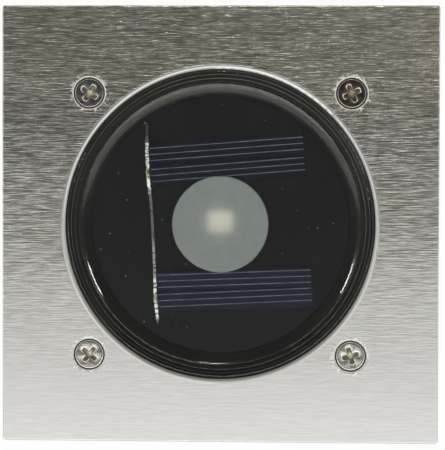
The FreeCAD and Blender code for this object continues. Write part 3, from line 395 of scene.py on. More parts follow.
FINE_EDGE = 0.08 * MM
SMALL_EDGE = 0.2 * MM
moulded("pot_black", ["housing"], paint(34, 34, 35), paint(48, 48, 49), 0.46)
moulded("spike_black", ["ground_spike"], paint(36, 36, 37), paint(50, 50, 50), 0.5)
moulded("holder_black", ["battery_holder"], paint(32, 32, 33), paint(44, 44, 45), 0.44, edge=SMALL_EDGE)
moulded("knob_black", ["switch_slider"], paint(30, 30, 31), paint(44, 44, 44), 0.4, edge=FINE_EDGE)
moulded("chip_epoxy", ["driver_chip"], paint(38, 38, 40), paint(50, 50, 52), 0.55, 6.0, 6e-6, 0.1 * MM)
moulded("ferrite_grey", ["inductor"], paint(74, 74, 78), paint(96, 96, 98), 0.6, 5.0, 10e-6, 0.15 * MM)
moulded("reflector_white", ["reflector"], paint(226, 226, 222), paint(236, 236, 232),
        0.3, 1.0, 4e-6, SMALL_EDGE)
moulded("package_white", ["led_package"], paint(224, 220, 210), paint(236, 232, 222),
        0.35, 4.0, 3e-6, FINE_EDGE)
moulded("gasket_rubber", ["lens_gasket"], paint(58, 58, 58), paint(72, 72, 71), 0.62, 3.0, 8e-6, SMALL_EDGE)

# %% [markdown]
# ## The tray
# The tray is moulded too, but its cove was polished in the tool. The cove mirrors the lamps, as a soft
# crescent in its far half and as short thin arcs in its near half, which is polished better.
# The flange outside the cove, which the lens is set on, has fine rings of painted highlight, pale grey and
# stronger on the far side. A sine of the distance from the middle makes the rings, and noise breaks them up.

# %% Tray
FLANGE_EDGE = (38.9, 39.2)
FLANGE_RING_PITCH = 1.05


def tray_with_ring_sheen():
    tray = material("tray_black")
    spot = tray.place()
    wide, deep = tray.axis(spot, "X"), tray.axis(spot, "Y")
    out = (wide * wide + deep * deep).root()
    flange = out.rise(*FLANGE_EDGE)
    flow = tray.cloud(tray.place((0.05, 0.05, 0.05)), 1.0, 3.0)
    broken = tray.cloud(spot, 0.5, 3.0, 0.6)
    wave = (2 * math.pi / FLANGE_RING_PITCH * out).sine()
    # Painted highlight: pale grey rings on the flange, stronger on the far side
    ring_sheen = wave.rise(0.6, 1.0) * (0.3 + broken) * (0.5 + 0.5 * deep.rise(-25.0, 20.0))
    cove = tray.mix(flow.rise(0.35, 0.75), paint(30, 30, 30), paint(35, 35, 35))
    ring_sheen_tone = tray.mix(ring_sheen, paint(26, 26, 26), paint(112, 112, 109))
    shader = tray.shader({
        "Base Color": tray.mix(flange, cove, ring_sheen_tone),
        "Roughness": 0.05 + (0.06 + 0.05 * flow) * deep.rise(-22.0, 4.0) + 0.28 * flange,
        "Specular Tint": paint(255, 250, 238),
        "Specular IOR Level": 0.66,
        "Normal": tray.bump(flange * broken, 2e-6, normal=tray.soft_edges(0.2 * MM)),
    })
    return tray.show(shader, ["carrier"])


tray_with_ring_sheen()

# %% [markdown]
# ## The clear lens
# The lens is one clear polished moulding, a shallow dish whose thick wall bends what lies behind it.
# Real refraction does that by itself, so the finish is glass with the index of acrylic.
# Glass would also block or scatter the light on its way in, so for shadow rays and diffuse rays it is mixed
# with a see-through shader, which lets them pass straight.

# %% Clear lens
ACRYLIC_INDEX = 1.49


def clear_lens():
    lens = material("clear_lens")
    smear = lens.cloud(lens.place((0.05, 0.09, 0.05)), 1.0, 4.0, 0.6)
    dust = lens.specks(lens.place(), 0.22, 0.3, 0.03)
    glass = lens.shader({
        "Base Color": paint(248, 250, 249),
        "Roughness": 0.02 * smear.rise(0.45, 0.8) + 0.2 * dust,
        "Transmission Weight": 1.0,
        "IOR": ACRYLIC_INDEX,
    })
    see = lens.node("ShaderNodeBsdfTransparent", None, {"Color": paint(244, 246, 245)})
    straight = lens.ray("Is Shadow Ray").most(lens.ray("Is Diffuse Ray"))
    return lens.show(lens.node("ShaderNodeMixShader", None, {0: straight, 1: glass, 2: see}), ["lens"])


clear_lens()

# %% [markdown]
# ## Lacquered boards
# The solar board is black lacquer over glass cloth, whose weave just shows. Specks of dust in two sizes
# were shut in under the lens; they are sparse dots in the finish, because they are too thin for a shape.
# The lamp's board is the same in white, and without dust.

# %% Lacquered boards


def lacquered(name, solids, colour, pale, roughness, dust_share=0.0):
    board = material(name)
    spot = board.place()
    weave = board.cloud(spot, 1.3, 3.0)
    bright = board.specks(spot, 0.42, dust_share, 0.085)
    faint = board.specks(spot, 0.9, 0.1 * dust_share, 0.13)
    dust = (0.75 * bright).most(0.4 * faint)
    tone = board.mix(weave.rise(0.3, 0.75), colour, pale)
    shader = board.shader({
        "Base Color": board.mix(dust, tone, paint(196, 196, 190)),
        "Roughness": roughness + 0.12 * weave + 0.3 * dust,
        "Normal": board.bump(weave, 3e-6),
        "Specular IOR Level": 0.3,
    })
    return board.show(shader, solids)


lacquered("board_black", ["solar_board"], paint(12, 13, 13), paint(18, 19, 19), 0.26, dust_share=0.26)
lacquered("board_white", ["led_board"], paint(216, 216, 210), paint(230, 230, 226), 0.3)

# %% [markdown]
# ## Silicon
# The cells are dark blue silicon whose crystal grain just shows, and smoother than the board.
# The lower pair is a little bluer than the upper one, and a bare strip along its upper rim is nearly black.

# %% Silicon
LOWER_RIM_SLOPE = 0.041
LOWER_RIM = (-13.3, -12.9)


def silicon():
    cell = material("solar_silicon")
    spot = cell.place()
    wide, deep = cell.axis(spot, "X"), cell.axis(spot, "Y")
    crystal = cell.cloud(spot, 2.2, 2.0)
    cloudy = cell.cloud(cell.place((0.1, 0.1, 0.1)), 1.0, 2.0)
    upper = deep.rise(-5.0, 5.0)
    bare = (deep - LOWER_RIM_SLOPE * wide).rise(*LOWER_RIM) * (1 - upper)
    tone = cell.washed(
        cell.mix(upper, paint(25, 28, 45), paint(20, 23, 35)),
        (0.3 * crystal + 0.2 * cloudy.rise(0.3, 0.7), paint(27, 31, 48)),
        (0.85 * bare, paint(14, 15, 17)),
    )
    shader = cell.shader({
        "Base Color": tone,
        "Roughness": 0.23 + 0.06 * cloudy,
        "Specular IOR Level": 0.35,
    })
    return cell.show(shader, ["upper_solar_cells", "lower_solar_cells"])


silicon()

# %% [markdown]
# ## The frosted button
# The diffuser is milky plastic over the lamp. Its middle is painted light: the lamp's square package
# shows through as a pale, warm, blurred square with a faint glow round it. It can't be seen sharply, so a
# soft
# step in the finish paints it: a distance between that of a square and that of a circle rounds the corners.

# %% Frosted button
GLOW_MIDDLE = 0.65
WARM_MIDDLE = 1.0


def frosted():
    frost = material("diffuser_frost")
    spot = frost.place()
    up = frost.axis(spot, "Y")
    wide, deep = abs(frost.axis(spot, "X")), abs(up - GLOW_MIDDLE)
    circle_reach = (wide * wide + deep * deep).root()
    reach = 0.5 * wide.most(1.2 * deep) + 0.46 * circle_reach
    core = reach.fall(1.5, 4.8) * (0.68 + 0.32 * up.rise(-3.4, 1.8))
    halo = circle_reach.fall(2.0, 7.5)
    warm = core * (1.3 * wide + abs(up - WARM_MIDDLE)).fall(0.2, 3.8)
    milk = frost.cloud(spot, 0.35, 3.0)
    tone = frost.washed(
        frost.mix(milk.rise(0.3, 0.7), paint(126, 130, 127), paint(132, 135, 132)),
        # Painted light: the lamp's package as a pale warm square, with a faint halo round it
        (0.22 * halo, paint(200, 196, 180)),
        (core, paint(208, 203, 192)),
        (0.6 * warm, paint(210, 207, 182)),
    )
    shader = frost.shader({
        "Base Color": tone,
        "Roughness": 0.5 + 0.1 * milk,
        "Normal": frost.bump(frost.cloud(spot, 4.0, 2.0), 4e-6),
    })
    return frost.show(shader, ["diffuser"])


frosted()

# %% [markdown]
# ## Waxy plastics under the tray
# The leads' insulation, the battery's wrap and the capacitor's sleeve are soft plastics with a waxy gloss.
# They show only when the light is taken apart, so one function serves them and the small parts beside them:
# a slow cloud and a fine relief. The driver board is green lacquer.

# %% Waxy plastics


def waxy(name, solids, colour, pale):
    skin = material(name)
    spot = skin.place()
    cloudy = skin.cloud(spot, 0.8, 3.0)
    shader = skin.shader({
        "Base Color": skin.mix(cloudy.rise(0.3, 0.7), colour, pale),
        "Roughness": 0.34 + 0.16 * cloudy,
        "Normal": skin.bump(skin.cloud(spot, 5.0, 2.0), 4e-6),
    })
    return skin.show(shader, solids)


red_finish = waxy("lead_red", [], paint(158, 26, 24), paint(182, 38, 32))
black_finish = waxy("lead_black", [], paint(28, 28, 29), paint(42, 42, 42))
waxy("battery_wrap", ["battery_sleeve"], paint(44, 112, 62), paint(58, 132, 74))
waxy("phosphor_yellow", ["led_phosphor"], paint(228, 206, 92), paint(236, 218, 112))
waxy("battery_roll", ["battery_core"], paint(70, 70, 72), paint(96, 96, 98))
waxy("capacitor_sleeve", ["capacitor"], paint(32, 44, 92), paint(40, 54, 108))
lacquered("board_green", ["driver_board"], paint(18, 84, 44), paint(26, 98, 54), 0.3)

# %% [markdown]
# ## Skins from rings
# The finer pieces are all long or round: screws, beads, strips and wires. Such a form is easiest to give as
# a row of rings of points with a skin woven between them, where a ring of one point closes an end.
# Points are written in millimetres, and become metres when the piece is made.

# %% Weave a skin and make a piece
SHARP_ANGLE = 38


def woven(rings, loop=False):
    """Points and faces of a skin through rings. With loop, the last ring joins the first."""
    points, starts = [], []
    for ring in rings:
        starts.append(len(points))
        points.extend(ring)
    faces = []
    for first in range(len(rings) if loop else len(rings) - 1):
        second = (first + 1) % len(rings)
        a, b = len(rings[first]), len(rings[second])
        for k in range(max(a, b)):
            square = [starts[first] + k % a, starts[first] + (k + 1) % a]
            square += [starts[second] + (k + 1) % b, starts[second] + k % b]
            faces.append(list(dict.fromkeys(square)))
    return points, faces


def capped(rings):
    """A skin through rings, closed at both ends by a point in the middle of the ring there."""
    ends = [sum(ring, Vector()) / len(ring) for ring in (rings[0], rings[-1])]
    return woven([[ends[0]], *rings, [ends[1]]])


def add_piece(name, skins, body, finish, stands_for=None):
    """A piece of one or more skins that rides on a body, and may stand for a solid."""
    points, faces = [], []
    for skin_points, skin_faces in skins:
        start = len(points)
        points.extend(MM * Vector(point) for point in skin_points)
        faces.extend([start + k for k in face] for face in skin_faces)
    mesh = bpy.data.meshes.new(name)
    mesh.from_pydata(points, [], faces)
    shape = bmesh.new()
    shape.from_mesh(mesh)
    bmesh.ops.recalc_face_normals(shape, faces=shape.faces)
    shape.to_mesh(mesh)
    shape.free()
    mesh.shade_smooth()
    mesh.set_sharp_from_angle(angle=math.radians(SHARP_ANGLE))
    mesh.materials.append(finish.owner)
    piece = bpy.data.objects.new(name, mesh)
    bpy.context.scene.collection.objects.link(piece)
    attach(piece, body)
    if stands_for:
        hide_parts(stands_for)
    print(name, len(mesh.polygons), "faces, on", body)
    return piece


def round_steps(count, start=0.0):
    """Angles at even steps round a full turn."""
    return [start + 2 * math.pi * k / count for k in range(count)]


print("a tip over a ring of six has", len(woven([[Vector()], 6 * [Vector()]])[1]), "faces")

# %% [markdown]
# ## Faceplate screws
# Each screw is a flat countersunk one with a rounded rim and a cross recess that many drivers have chewed.
# The recess could be cut with a boolean, but that leaves a ragged mesh. Here the rings change from the round
# rim to the cross's outline and then shrink down into the recess, so that its lip and walls stay clean,
# and noise wears each screw differently. The thread is a ring whose radius runs on with the angle.

# %% Rings of a screw
NECK_RADIUS = 2.0
THREAD_DEPTH = 0.32
THREAD_PITCH = 0.7
QUARTER = math.pi / 2
ARM_SIDE = [k / 4 for k in range(5)]
ARM_END = [math.radians(angle) for angle in (-60, -30, 0, 30, 60)]
RING_POINTS = 4 * (2 * len(ARM_SIDE) + len(ARM_END) - 1)
RING_ANGLES = round_steps(RING_POINTS, -QUARTER / 2)


def around(radius, angle, height=0.0):
    """A place round the upright axis."""
    return Vector((radius * math.cos(angle), radius * math.sin(angle), height))


def circle(radius, height):
    return [around(radius, angle, height) for angle in RING_ANGLES]


def cross(reach, half_width, height, blunt):
    """Points round a cross of four arms with blunt ends, starting in the corner between two arms."""
    out = [(half_width + (reach - blunt - half_width) * share, -half_width) for share in ARM_SIDE]
    tip = [(reach - blunt + blunt * math.cos(angle), half_width * math.sin(angle)) for angle in ARM_END]
    back = [(along, half_width) for along, _ in reversed(out[1:])]
    arm = [Vector((*point, height)) for point in out + tip + back]
    return [Matrix.Rotation(turn * QUARTER, 3, "Z") @ point for turn in range(4) for point in arm]


def threaded(height):
    """A ring of the thread: a ridge whose place moves round with the height."""
    ring = []
    for angle in RING_ANGLES:
        phase = (height / THREAD_PITCH - angle / (2 * math.pi)) % 1.0
        radius = NECK_RADIUS - THREAD_DEPTH * (1 - abs(2 * phase - 1))
        ring.append(around(radius, angle, height))
    return ring


print("points in each ring of a screw:", RING_POINTS)

# %% Screws
SCREW_TURNS = {(-1, 1): 56.0, (1, 1): 24.0, (-1, -1): 51.0, (1, -1): 17.0}
HEAD_RADIUS = 3.95
HEAD_LAND = 0.25
HEAD_ROUNDING = 0.24
RIM_ANGLES = (90, 65, 40, 20, 0)
POINT_LENGTH = 0.5
THREAD_STEPS = 5
# Reach, half width, depth, bluntness and wear of the rings down the recess, and then its whole depth
RECESS = (
    (2.78, 0.84, 0.0, 0.35, 0.05),
    (2.62, 0.68, 0.05, 0.35, 0.14),
    (2.5, 0.6, 0.22, 0.35, 0.14),
    (1.9, 0.5, 0.95, 0.35, 0.12),
    (1.3, 0.44, 1.45, 0.3, 0.1),
)
RECESS_DEPTH = 1.7
WEAR_LANES = (Vector((0, 0, 0)), Vector((17.3, 4.1, 0)), Vector((5.7, 23.9, 0)))
screw_low, screw_high = corners("cover_screws")
screw_end, head_top = screw_low.z, screw_high.z


def on_screw(corner, height=0.0):
    """A place on the axis of the screw in a corner of the plate."""
    return Vector((corner[0] * screw_at, corner[1] * screw_at, height))


def chewed(spot):
    """A shift in three directions, from three lanes of noise, the same on each run."""
    return Vector([noise.noise(spot + lane) for lane in WEAR_LANES])


def screw_skin(corner):
    rings = [[Vector((0, 0, screw_end))], circle(0.7 * NECK_RADIUS, screw_end)]
    land = head_top - HEAD_LAND
    neck = land - (HEAD_RADIUS - NECK_RADIUS)
    thread_start = screw_end + POINT_LENGTH
    count = round(THREAD_STEPS * (neck - thread_start) / THREAD_PITCH)
    rings += [threaded(thread_start + THREAD_PITCH * k / THREAD_STEPS) for k in range(count)]
    rings += [circle(NECK_RADIUS, neck), circle(HEAD_RADIUS, land)]
    for bend in map(math.radians, RIM_ANGLES):
        radius = HEAD_RADIUS - HEAD_ROUNDING + HEAD_ROUNDING * math.sin(bend)
        rings.append(circle(radius, head_top - HEAD_ROUNDING + HEAD_ROUNDING * math.cos(bend)))
    seed = Vector((3.1 * corner[0], 5.3 * corner[1], 0.0))
    for reach, half_width, depth, blunt, wear in RECESS:
        ring = cross(reach, half_width, head_top - depth, blunt)
        for point in ring:
            shift = wear * chewed(1.1 * point + seed)
            point += Vector((shift.x, shift.y, -0.5 * abs(shift.z)))
        rings.append(ring)
    rings.append([Vector((0, 0, head_top - RECESS_DEPTH))])
    turn = Matrix.Rotation(math.radians(SCREW_TURNS[corner]), 3, "Z")
    return woven([[turn @ point + on_screw(corner) for point in ring] for ring in rings])


print("screws from", round(screw_end, 2), "to", round(head_top, 2), "mm")

# %% [markdown]
# ## Finish of the screws
# The plating is scraped and pitted. The two near screws have paler plating and paler grime, and the one at
# the upper right is brown.
# Grime fills the recess, with a painted highlight as a pale ragged spot at its middle. The recess's lip is
# worn and carries a painted highlight, most at the arms' ends, the rounded rim carries a painted highlight,
# and inside the rim of the near screws lies a ring of painted shade. Distance from the screw's axis and depth
# below its top tell these places apart.

# %% Worn screws
RECESS_MOUTH = (2.5, 2.95)
LIP_DEPTH = (0.02, 0.07, 0.22, 0.42)
GRIME_DEPTH = (0.2, 0.6)
RIM_SHADE_RING = (3.28, 3.4, 3.52, 3.64)
RIM_GLINT_RING = (3.66, 3.76)


def worn_screw():
    metal = material("worn_screw")
    spot = metal.place()
    right, back = metal.axis(spot, "X"), metal.axis(spot, "Y")
    out = from_screw(metal, spot)
    deep = head_top - metal.axis(spot, "Z")
    near = back.fall(-9, 9)
    browned = right.rise(0, 9) * back.rise(0, 9)
    inside = out.fall(*RECESS_MOUTH)
    # Partly wear, partly painted highlight: the recess's lip, brightest at the arms' ends
    worn_lip_and_glint = inside * deep.within(*LIP_DEPTH) * (0.4 + 0.6 * out.rise(1.4, 2.2))
    dirt = inside * deep.rise(*GRIME_DEPTH)
    # Painted highlight: a thin pale ring on the rounded rim
    rim_glint = out.rise(*RIM_GLINT_RING) * deep.fall(0.3, 0.45) * (0.45 + 0.1 * near)
    # Painted shade: a dark ring inside the rim of the two near screws
    rim_shade = near * out.within(*RIM_SHADE_RING)

    scrape = metal.cloud(spot, 2.4, 3.0, 0.6)
    pitted = 0.5 * scrape + 0.5 * metal.cloud(spot, 5.0, 2.0, 0.6)
    ragged = out + 2.4 * (scrape - 0.5)
    # Paler plating on the two near screws
    paler_near_plating = metal.mix(pitted.rise(0.36, 0.62), paint(124, 122, 110), paint(218, 216, 206))
    plating = metal.washed(
        metal.mix(scrape.rise(0.35, 0.68), paint(76, 75, 72), paint(138, 136, 130)),
        (0.75 * browned, paint(88, 73, 64)),
        (near, paler_near_plating),
        # Painted shade inside the rim of the near screws
        (0.6 * rim_shade, paint(62, 60, 54)),
    )
    grime_and_glint = metal.washed(
        metal.mix(scrape.rise(0.46, 0.56), paint(44, 39, 30), paint(188, 178, 148)),
        (0.75 * near, paint(136, 129, 108)),
        # Painted highlight: a pale ragged spot at the middle of the recess
        (0.85 * ragged.fall(0.3, 1.0), paint(228, 220, 188)),
    )
    tone = metal.washed(
        plating,
        (dirt, grime_and_glint),
        (0.45 * browned, paint(74, 60, 50)),
        # Painted highlights on the lip, which is also worn, and on the rim
        (worn_lip_and_glint.most(rim_glint), paint(240, 238, 230)),
    )
    shader = metal.shader({
        "Base Color": tone,
        "Metallic": 1 - 0.6 * dirt - (0.7 * worn_lip_and_glint).most(0.35 * rim_glint),
        "Roughness": 0.2 + 0.22 * scrape + 0.15 * dirt,
        "Normal": metal.bump(scrape, 40e-6),
    })
    return metal.show(shader)


screw_finish = worn_screw()
screw_skins = [screw_skin(corner) for corner in SCREW_TURNS]
add_piece("worn_cover_screws", screw_skins, "cover_plate", screw_finish, "cover_screws")

# %% [markdown]
# ## Burred edges of the screw holes
# The holes were pressed and the screws driven in hard, so a bright, uneven lip runs round each hole.
# A bead that wavers in radius and thickness lies in the rolled edge of the plate, and never above it.

# %% Burrs
BURR_RADIUS = 4.62
BURR_THICKNESS = 0.21
BURR_WIDENING = 1.5
BURR_STEPS = 84
BURR_SIDES = 8


def scraped_steel():
    """Raw torn metal: bright from all sides, because it is too rough to mirror one of them."""
    metal = material("scraped_steel")
    torn = metal.cloud(metal.place(), 3.2, 3.0, 0.6)
    shader = metal.shader({
        "Base Color": metal.mix(torn.rise(0.3, 0.7), paint(160, 158, 152), paint(232, 231, 226)),
        "Metallic": 0.35,
        "Roughness": 0.36 + 0.2 * torn,
        "Normal": metal.bump(torn, 60e-6),
    })
    return metal.show(shader)


def burr_skin(corner):
    seed = Vector((7.0 * corner[0], 11.0 * corner[1], 0))
    up = Vector((0, 0, 1))
    rings = []
    for angle in round_steps(BURR_STEPS):
        way = around(1.0, angle)
        waver = noise.noise(2.3 * way + seed)
        fine = noise.noise(6.5 * way + seed)
        radius = BURR_RADIUS + 0.1 * waver + 0.06 * fine
        thick = BURR_THICKNESS + 0.07 * fine + 0.06 * waver
        centre = on_screw(corner, plate_top - thick) + radius * way
        outward = BURR_WIDENING * way
        section = [math.cos(a) * outward + math.sin(a) * up for a in round_steps(BURR_SIDES)]
        rings.append([centre + thick * point for point in section])
    return woven(rings, loop=True)


burr_finish = scraped_steel()
burr_skins = [burr_skin(corner) for corner in SCREW_TURNS]
add_piece("screw_hole_burrs", burr_skins, "cover_plate", burr_finish)

# %% [markdown]
# ## Solder ribbon
# A tinned strip joins the cells' left ends. It was soldered by hand: lumps of solder run along it where it
# meets the cells, with small sideways steps, and it is plain and flat between the two pairs.
# Stations along its line carry a low domed section each, and noise makes the lumps in the soldered stretches.

# %% Ribbon
RIBBON_LINE = [
    (27.67, -20.3), (19.8, -20.34), (15.6, -20.1), (15.0, -20.22), (12.6, -19.98), (8.25, -19.52),
    (6.6, -19.22), (3.3, -18.96), (-6.6, -18.45), (-12.97, -18.16), (-19.8, -18.0), (-23.1, -17.7),
    (-27.99, -17.18),
]
RIBBON_HALF = 0.4
RIBBON_INSET = 0.05
RIBBON_STEP = 0.22
RIBBON_TAPER = 1.6
UPPER_SOLDER = (7.6, 9.8, 23.0, 25.4)
LOWER_SOLDER = (-25.6, -24.0, -16.0, -14.2)
DOME_ANGLES = [math.pi * k / 8 for k in range(9)]
ribbon_low, ribbon_high = corners("bus_ribbon")


def step(value, low, high):
    """A soft step in plain numbers, like the one in a finish."""
    share = min(max((value - low) / (high - low), 0.0), 1.0)
    return share * share * (3 - 2 * share)


def stretch(value, low, full, last, high):
    """1 from full to last in plain numbers, with soft steps outside them."""
    return step(value, low, full) * (1 - step(value, last, high))


def read_off(table, value):
    """A number read off a table of pairs that goes downwards."""
    for (high, first), (low, second) in zip(table, table[1:]):
        if value >= low:
            return second + (first - second) * (value - low) / (high - low)
    return table[-1][1]


def ribbon_ring(y):
    """The section of the ribbon at one place along it: a dome, and a foot that reaches what it lies on."""
    solder = stretch(y, *UPPER_SOLDER) + stretch(y, *LOWER_SOLDER)
    lump = noise.noise(Vector((0.55 * y, 2.0, 0))) + 0.6 * noise.noise(Vector((1.7 * y, 5.0, 0)))
    half = RIBBON_HALF * (0.92 + solder * (0.24 + 0.38 * lump))
    half *= 0.15 + 0.85 * step(y, ribbon_low.y, ribbon_low.y + RIBBON_TAPER)
    rise = 0.15 + solder * (0.2 + 0.22 * lump)
    foot = cells_top - solder * (cells_top - board_top)
    x = read_off(RIBBON_LINE, y) + 0.12 * solder * noise.noise(Vector((1.1 * y, 9.0, 0)))
    squareness = 0.45 if solder < 0.5 else 0.75
    ring = []
    for angle in DOME_ANGLES:
        side = math.copysign(abs(math.cos(angle)) ** squareness, math.cos(angle))
        ring.append(Vector((x + half * side, y, cells_top + rise * math.sin(angle) ** squareness)))
    return ring + [Vector((x - half, y, foot)), Vector((x + half, y, foot))]


def ribbon_skin():
    first = ribbon_high.y - RIBBON_INSET
    count = int((first - ribbon_low.y - RIBBON_INSET) / RIBBON_STEP) + 1
    return capped([ribbon_ring(first - RIBBON_STEP * k) for k in range(count)])


print("ribbon from", round(ribbon_low.y, 2), "to", round(ribbon_high.y, 2), "mm")

# %% [markdown]
# ## Finish of the ribbon
# Solder is bright and lumpy, with dark flecks of flux in it and breaks where it did not flow. Two places
# on it are stained olive, the plain stretch between the pairs is grey, and the far tip lies in the dark.

# %% Tinned ribbon
PLAIN_STRETCH = (-16.0, -14.4, 7.8, 9.6)
UPPER_STAIN = (12.0, 13.0, 14.8, 15.6)
LOWER_STAIN = (-21.8, -21.0, -19.6, -18.8)


def tinned():
    tin = material("tinned_ribbon")
    spot = tin.place()
    along = tin.axis(spot, "Y")
    lumps = tin.cloud(spot, 1.1, 4.0, 0.65)
    flecks = tin.cloud(tin.place((0.7, 0.9, 0.7)), 1.5, 2.0).rise(0.54, 0.58)
    breaks = tin.cloud(tin.place((0.12, 0.75, 0.12)), 1.0, 2.0).rise(0.52, 0.57)
    plain = along.within(*PLAIN_STRETCH)
    far = along.rise(20.6, 25.2)
    olive = along.within(*UPPER_STAIN).most(along.within(*LOWER_STAIN))
    strip = tin.mix(along.rise(-7.0, -3.0), paint(158, 158, 154), paint(104, 105, 104))
    tone = tin.washed(
        tin.mix(lumps.rise(0.32, 0.5), paint(150, 148, 142), paint(255, 255, 252)),
        (0.8 * olive, paint(150, 150, 92)),
        (plain.most(far), tin.mix(far, strip, paint(40, 40, 40))),
        (0.85 * flecks.most(breaks * (1 - plain)), paint(48, 44, 38)),
    )
    shader = tin.shader({
        "Base Color": tone,
        "Metallic": 0.15,
        "Roughness": 0.3 + 0.2 * lumps,
        "Normal": tin.bump(lumps, 90e-6),
    })
    return tin.show(shader)


tin_finish = tinned()
add_piece("soldered_ribbon", [ribbon_skin()], "solar_module", tin_finish, "bus_ribbon")

# %% [markdown]
# ## Printed fingers
# Three thin silver lines run along each cell and gather its current. They are printed paste, a hair's
# thickness above the silicon, so each is a low strip on the cell and not a drawn line.

# %% Fingers
FINGER_LENGTH = 42.4
FINGER_PITCH = 1.67
FINGER_HALF = 0.11
FINGER_WAVER = 0.025
FINGER_TOP, FINGER_FOOT = 0.03, -0.02
FINGER_STEPS = 54
# The middle of each pair of cells, and how far across it each cell's fingers lie and how they tilt
FINGER_ROWS = {
    "upper": ((1.84, 17.76), [(3.0, 4.48), (-2.73, 4.73)]),
    "lower": ((3.94, -17.84), [(2.79, 2.36), (-2.41, 2.9)]),
}


def finger_skin(centre, tilt, across):
    turn = Matrix.Rotation(math.radians(tilt), 3, "Z")
    base = Vector((*centre, cells_top))
    rings = []
    for k in range(FINGER_STEPS):
        along = FINGER_LENGTH * (k / (FINGER_STEPS - 1) - 0.5)
        half = FINGER_HALF + FINGER_WAVER * noise.noise(Vector((0.9 * along, across, 0)))
        section = [(-half, FINGER_FOOT), (-0.8 * half, FINGER_TOP)]
        section += [(0.8 * half, FINGER_TOP), (half, FINGER_FOOT)]
        rings.append([base + turn @ Vector((along, across + side, height)) for side, height in section])
    return capped(rings)


def silver_paste():
    paste = material("silver_paste")
    grains = paste.cloud(paste.place(), 3.0, 3.0, 0.6)
    worn = paste.cloud(paste.place((0.25, 0.4, 1.0)), 1.0, 2.0)
    shader = paste.shader({
        "Base Color": paste.mix(worn.rise(0.3, 0.7), paint(90, 92, 98), paint(122, 124, 130)),
        "Metallic": 0.35,
        "Roughness": 0.42 + 0.15 * grains,
        "Normal": paste.bump(grains, 6e-6),
    })
    return paste.show(shader)


paste_finish = silver_paste()
for row, (centre, cells) in FINGER_ROWS.items():
    places = [(tilt, across + FINGER_PITCH * k) for across, tilt in cells for k in (-1, 0, 1)]
    skins = [finger_skin(centre, tilt, across) for tilt, across in places]
    add_piece(row + "_cell_fingers", skins, "solar_module", paste_finish)

# %% [markdown]
# ## Battery spring
# The spring that presses the battery forward is one hard wire wound to a cone with its end turns laid flat.
# A round skin follows the wire's line, with its section carried along so that it never twists.

# %% Spring
SPRING_WIRE = 0.5
SPRING_WIDE, SPRING_NARROW = 4.6, 2.8
SPRING_TURNS = 4
SPRING_STEPS = 32 * SPRING_TURNS
spring_low, spring_high = corners("battery_spring")
battery_axis = sum(corners("battery_can"), Vector()) / 2


def tube(path, radius, sides=12):
    """A round skin along a path of points, closed at both ends."""
    rings = [[path[0]]]
    side = (path[1] - path[0]).orthogonal()
    for k, spot in enumerate(path):
        way = (path[min(k + 1, len(path) - 1)] - path[max(k - 1, 0)]).normalized()
        side = (side - side.dot(way) * way).normalized()
        up = way.cross(side)
        rings.append([spot + radius * (math.cos(a) * side + math.sin(a) * up) for a in round_steps(sides)])
    return woven([*rings, [path[-1]]])


def spring_path():
    start = spring_low.x + SPRING_WIRE / 2
    climb = spring_high.x - spring_low.x - SPRING_WIRE
    path = []
    for k in range(SPRING_STEPS + 1):
        share = k / SPRING_STEPS
        radius = SPRING_WIDE + (SPRING_NARROW - SPRING_WIDE) * share
        angle = 2 * math.pi * SPRING_TURNS * share
        y = battery_axis.y + radius * math.cos(angle)
        z = battery_axis.z + radius * math.sin(angle)
        path.append(Vector((start + climb * step(share, 0, 1), y, z)))
    return path


spring_skin = tube(spring_path(), SPRING_WIRE / 2)
add_piece("wound_spring", [spring_skin], "solar_module", nickel_finish, "battery_spring")

# %% [markdown]
# ## Leads
# Thin insulated wires join the boards and the battery. A wire bends in one smooth line, so each is a curve
# that is drawn towards the points of its route, with a round section. The battery's two leads are the long
# ones; they run round the pot from the holder to the driver board.

# %% Leads
LEAD_DIAMETER = 1.2
SOLAR_LEAD = [(6.29, 19.54, 1.0), (6.29, 19.54, -2.2), (7.49, 19.54, -5.8), (7.49, 19.54, -7.0)]
LED_RED = [(2.5, 2.5, -8.0), (2.5, 2.5, -13.1), (6.6, 16.0, -13.1), (6.6, 16.0, -8.2)]
LED_BLACK = [(-2.5, 2.5, -8.0), (-2.5, 2.5, -13.1), (1.6, 16.0, -13.1), (1.6, 16.0, -8.2)]
BATTERY_LEAD = [
    (31.2, -18.55, -4.1), (33.6, -18.55, -4.1), (33.6, -4.64, -7.95),
    (18.5, 7.97, -11.8), (12.21, 15.94, -11.8), (12.21, 15.94, -8.2),
]


def mirrored(route):
    return [(-x, y, z) for x, y, z in route]


def lay_lead(name, node, route, finish, slot):
    curve = bpy.data.curves.new(name, "CURVE")
    curve.dimensions = "3D"
    curve.bevel_depth = LEAD_DIAMETER / 2 * MM
    curve.bevel_resolution = 5
    curve.use_fill_caps = True
    line = curve.splines.new("NURBS")
    line.points.add(len(route) - 1)
    for point, spot in zip(line.points, route):
        point.co = (*(MM * Vector(spot)), 1.0)
    line.order_u = 3
    line.use_endpoint_u = True
    line.resolution_u = 16
    curve.materials.append(finish.owner)
    lead = bpy.data.objects.new(name, curve)
    bpy.context.scene.collection.objects.link(lead)
    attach(lead, "solar_module")
    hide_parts(node)
    print(name, "through", len(route), "points")
    return lead


LEAD_FINISHES = {"red": red_finish, "black": black_finish}
ROUTES = {
    "solar": (SOLAR_LEAD, mirrored(SOLAR_LEAD)),
    "led": (LED_RED, LED_BLACK),
    "battery": (BATTERY_LEAD, mirrored(BATTERY_LEAD)),
}
for part, routes in ROUTES.items():
    for (colour, finish), route in zip(LEAD_FINISHES.items(), routes):
        wire = lay_lead(f"{part}_wire_{colour}", f"{part}_lead_{colour}", route, finish, "lead_" + colour)
        part == "battery"

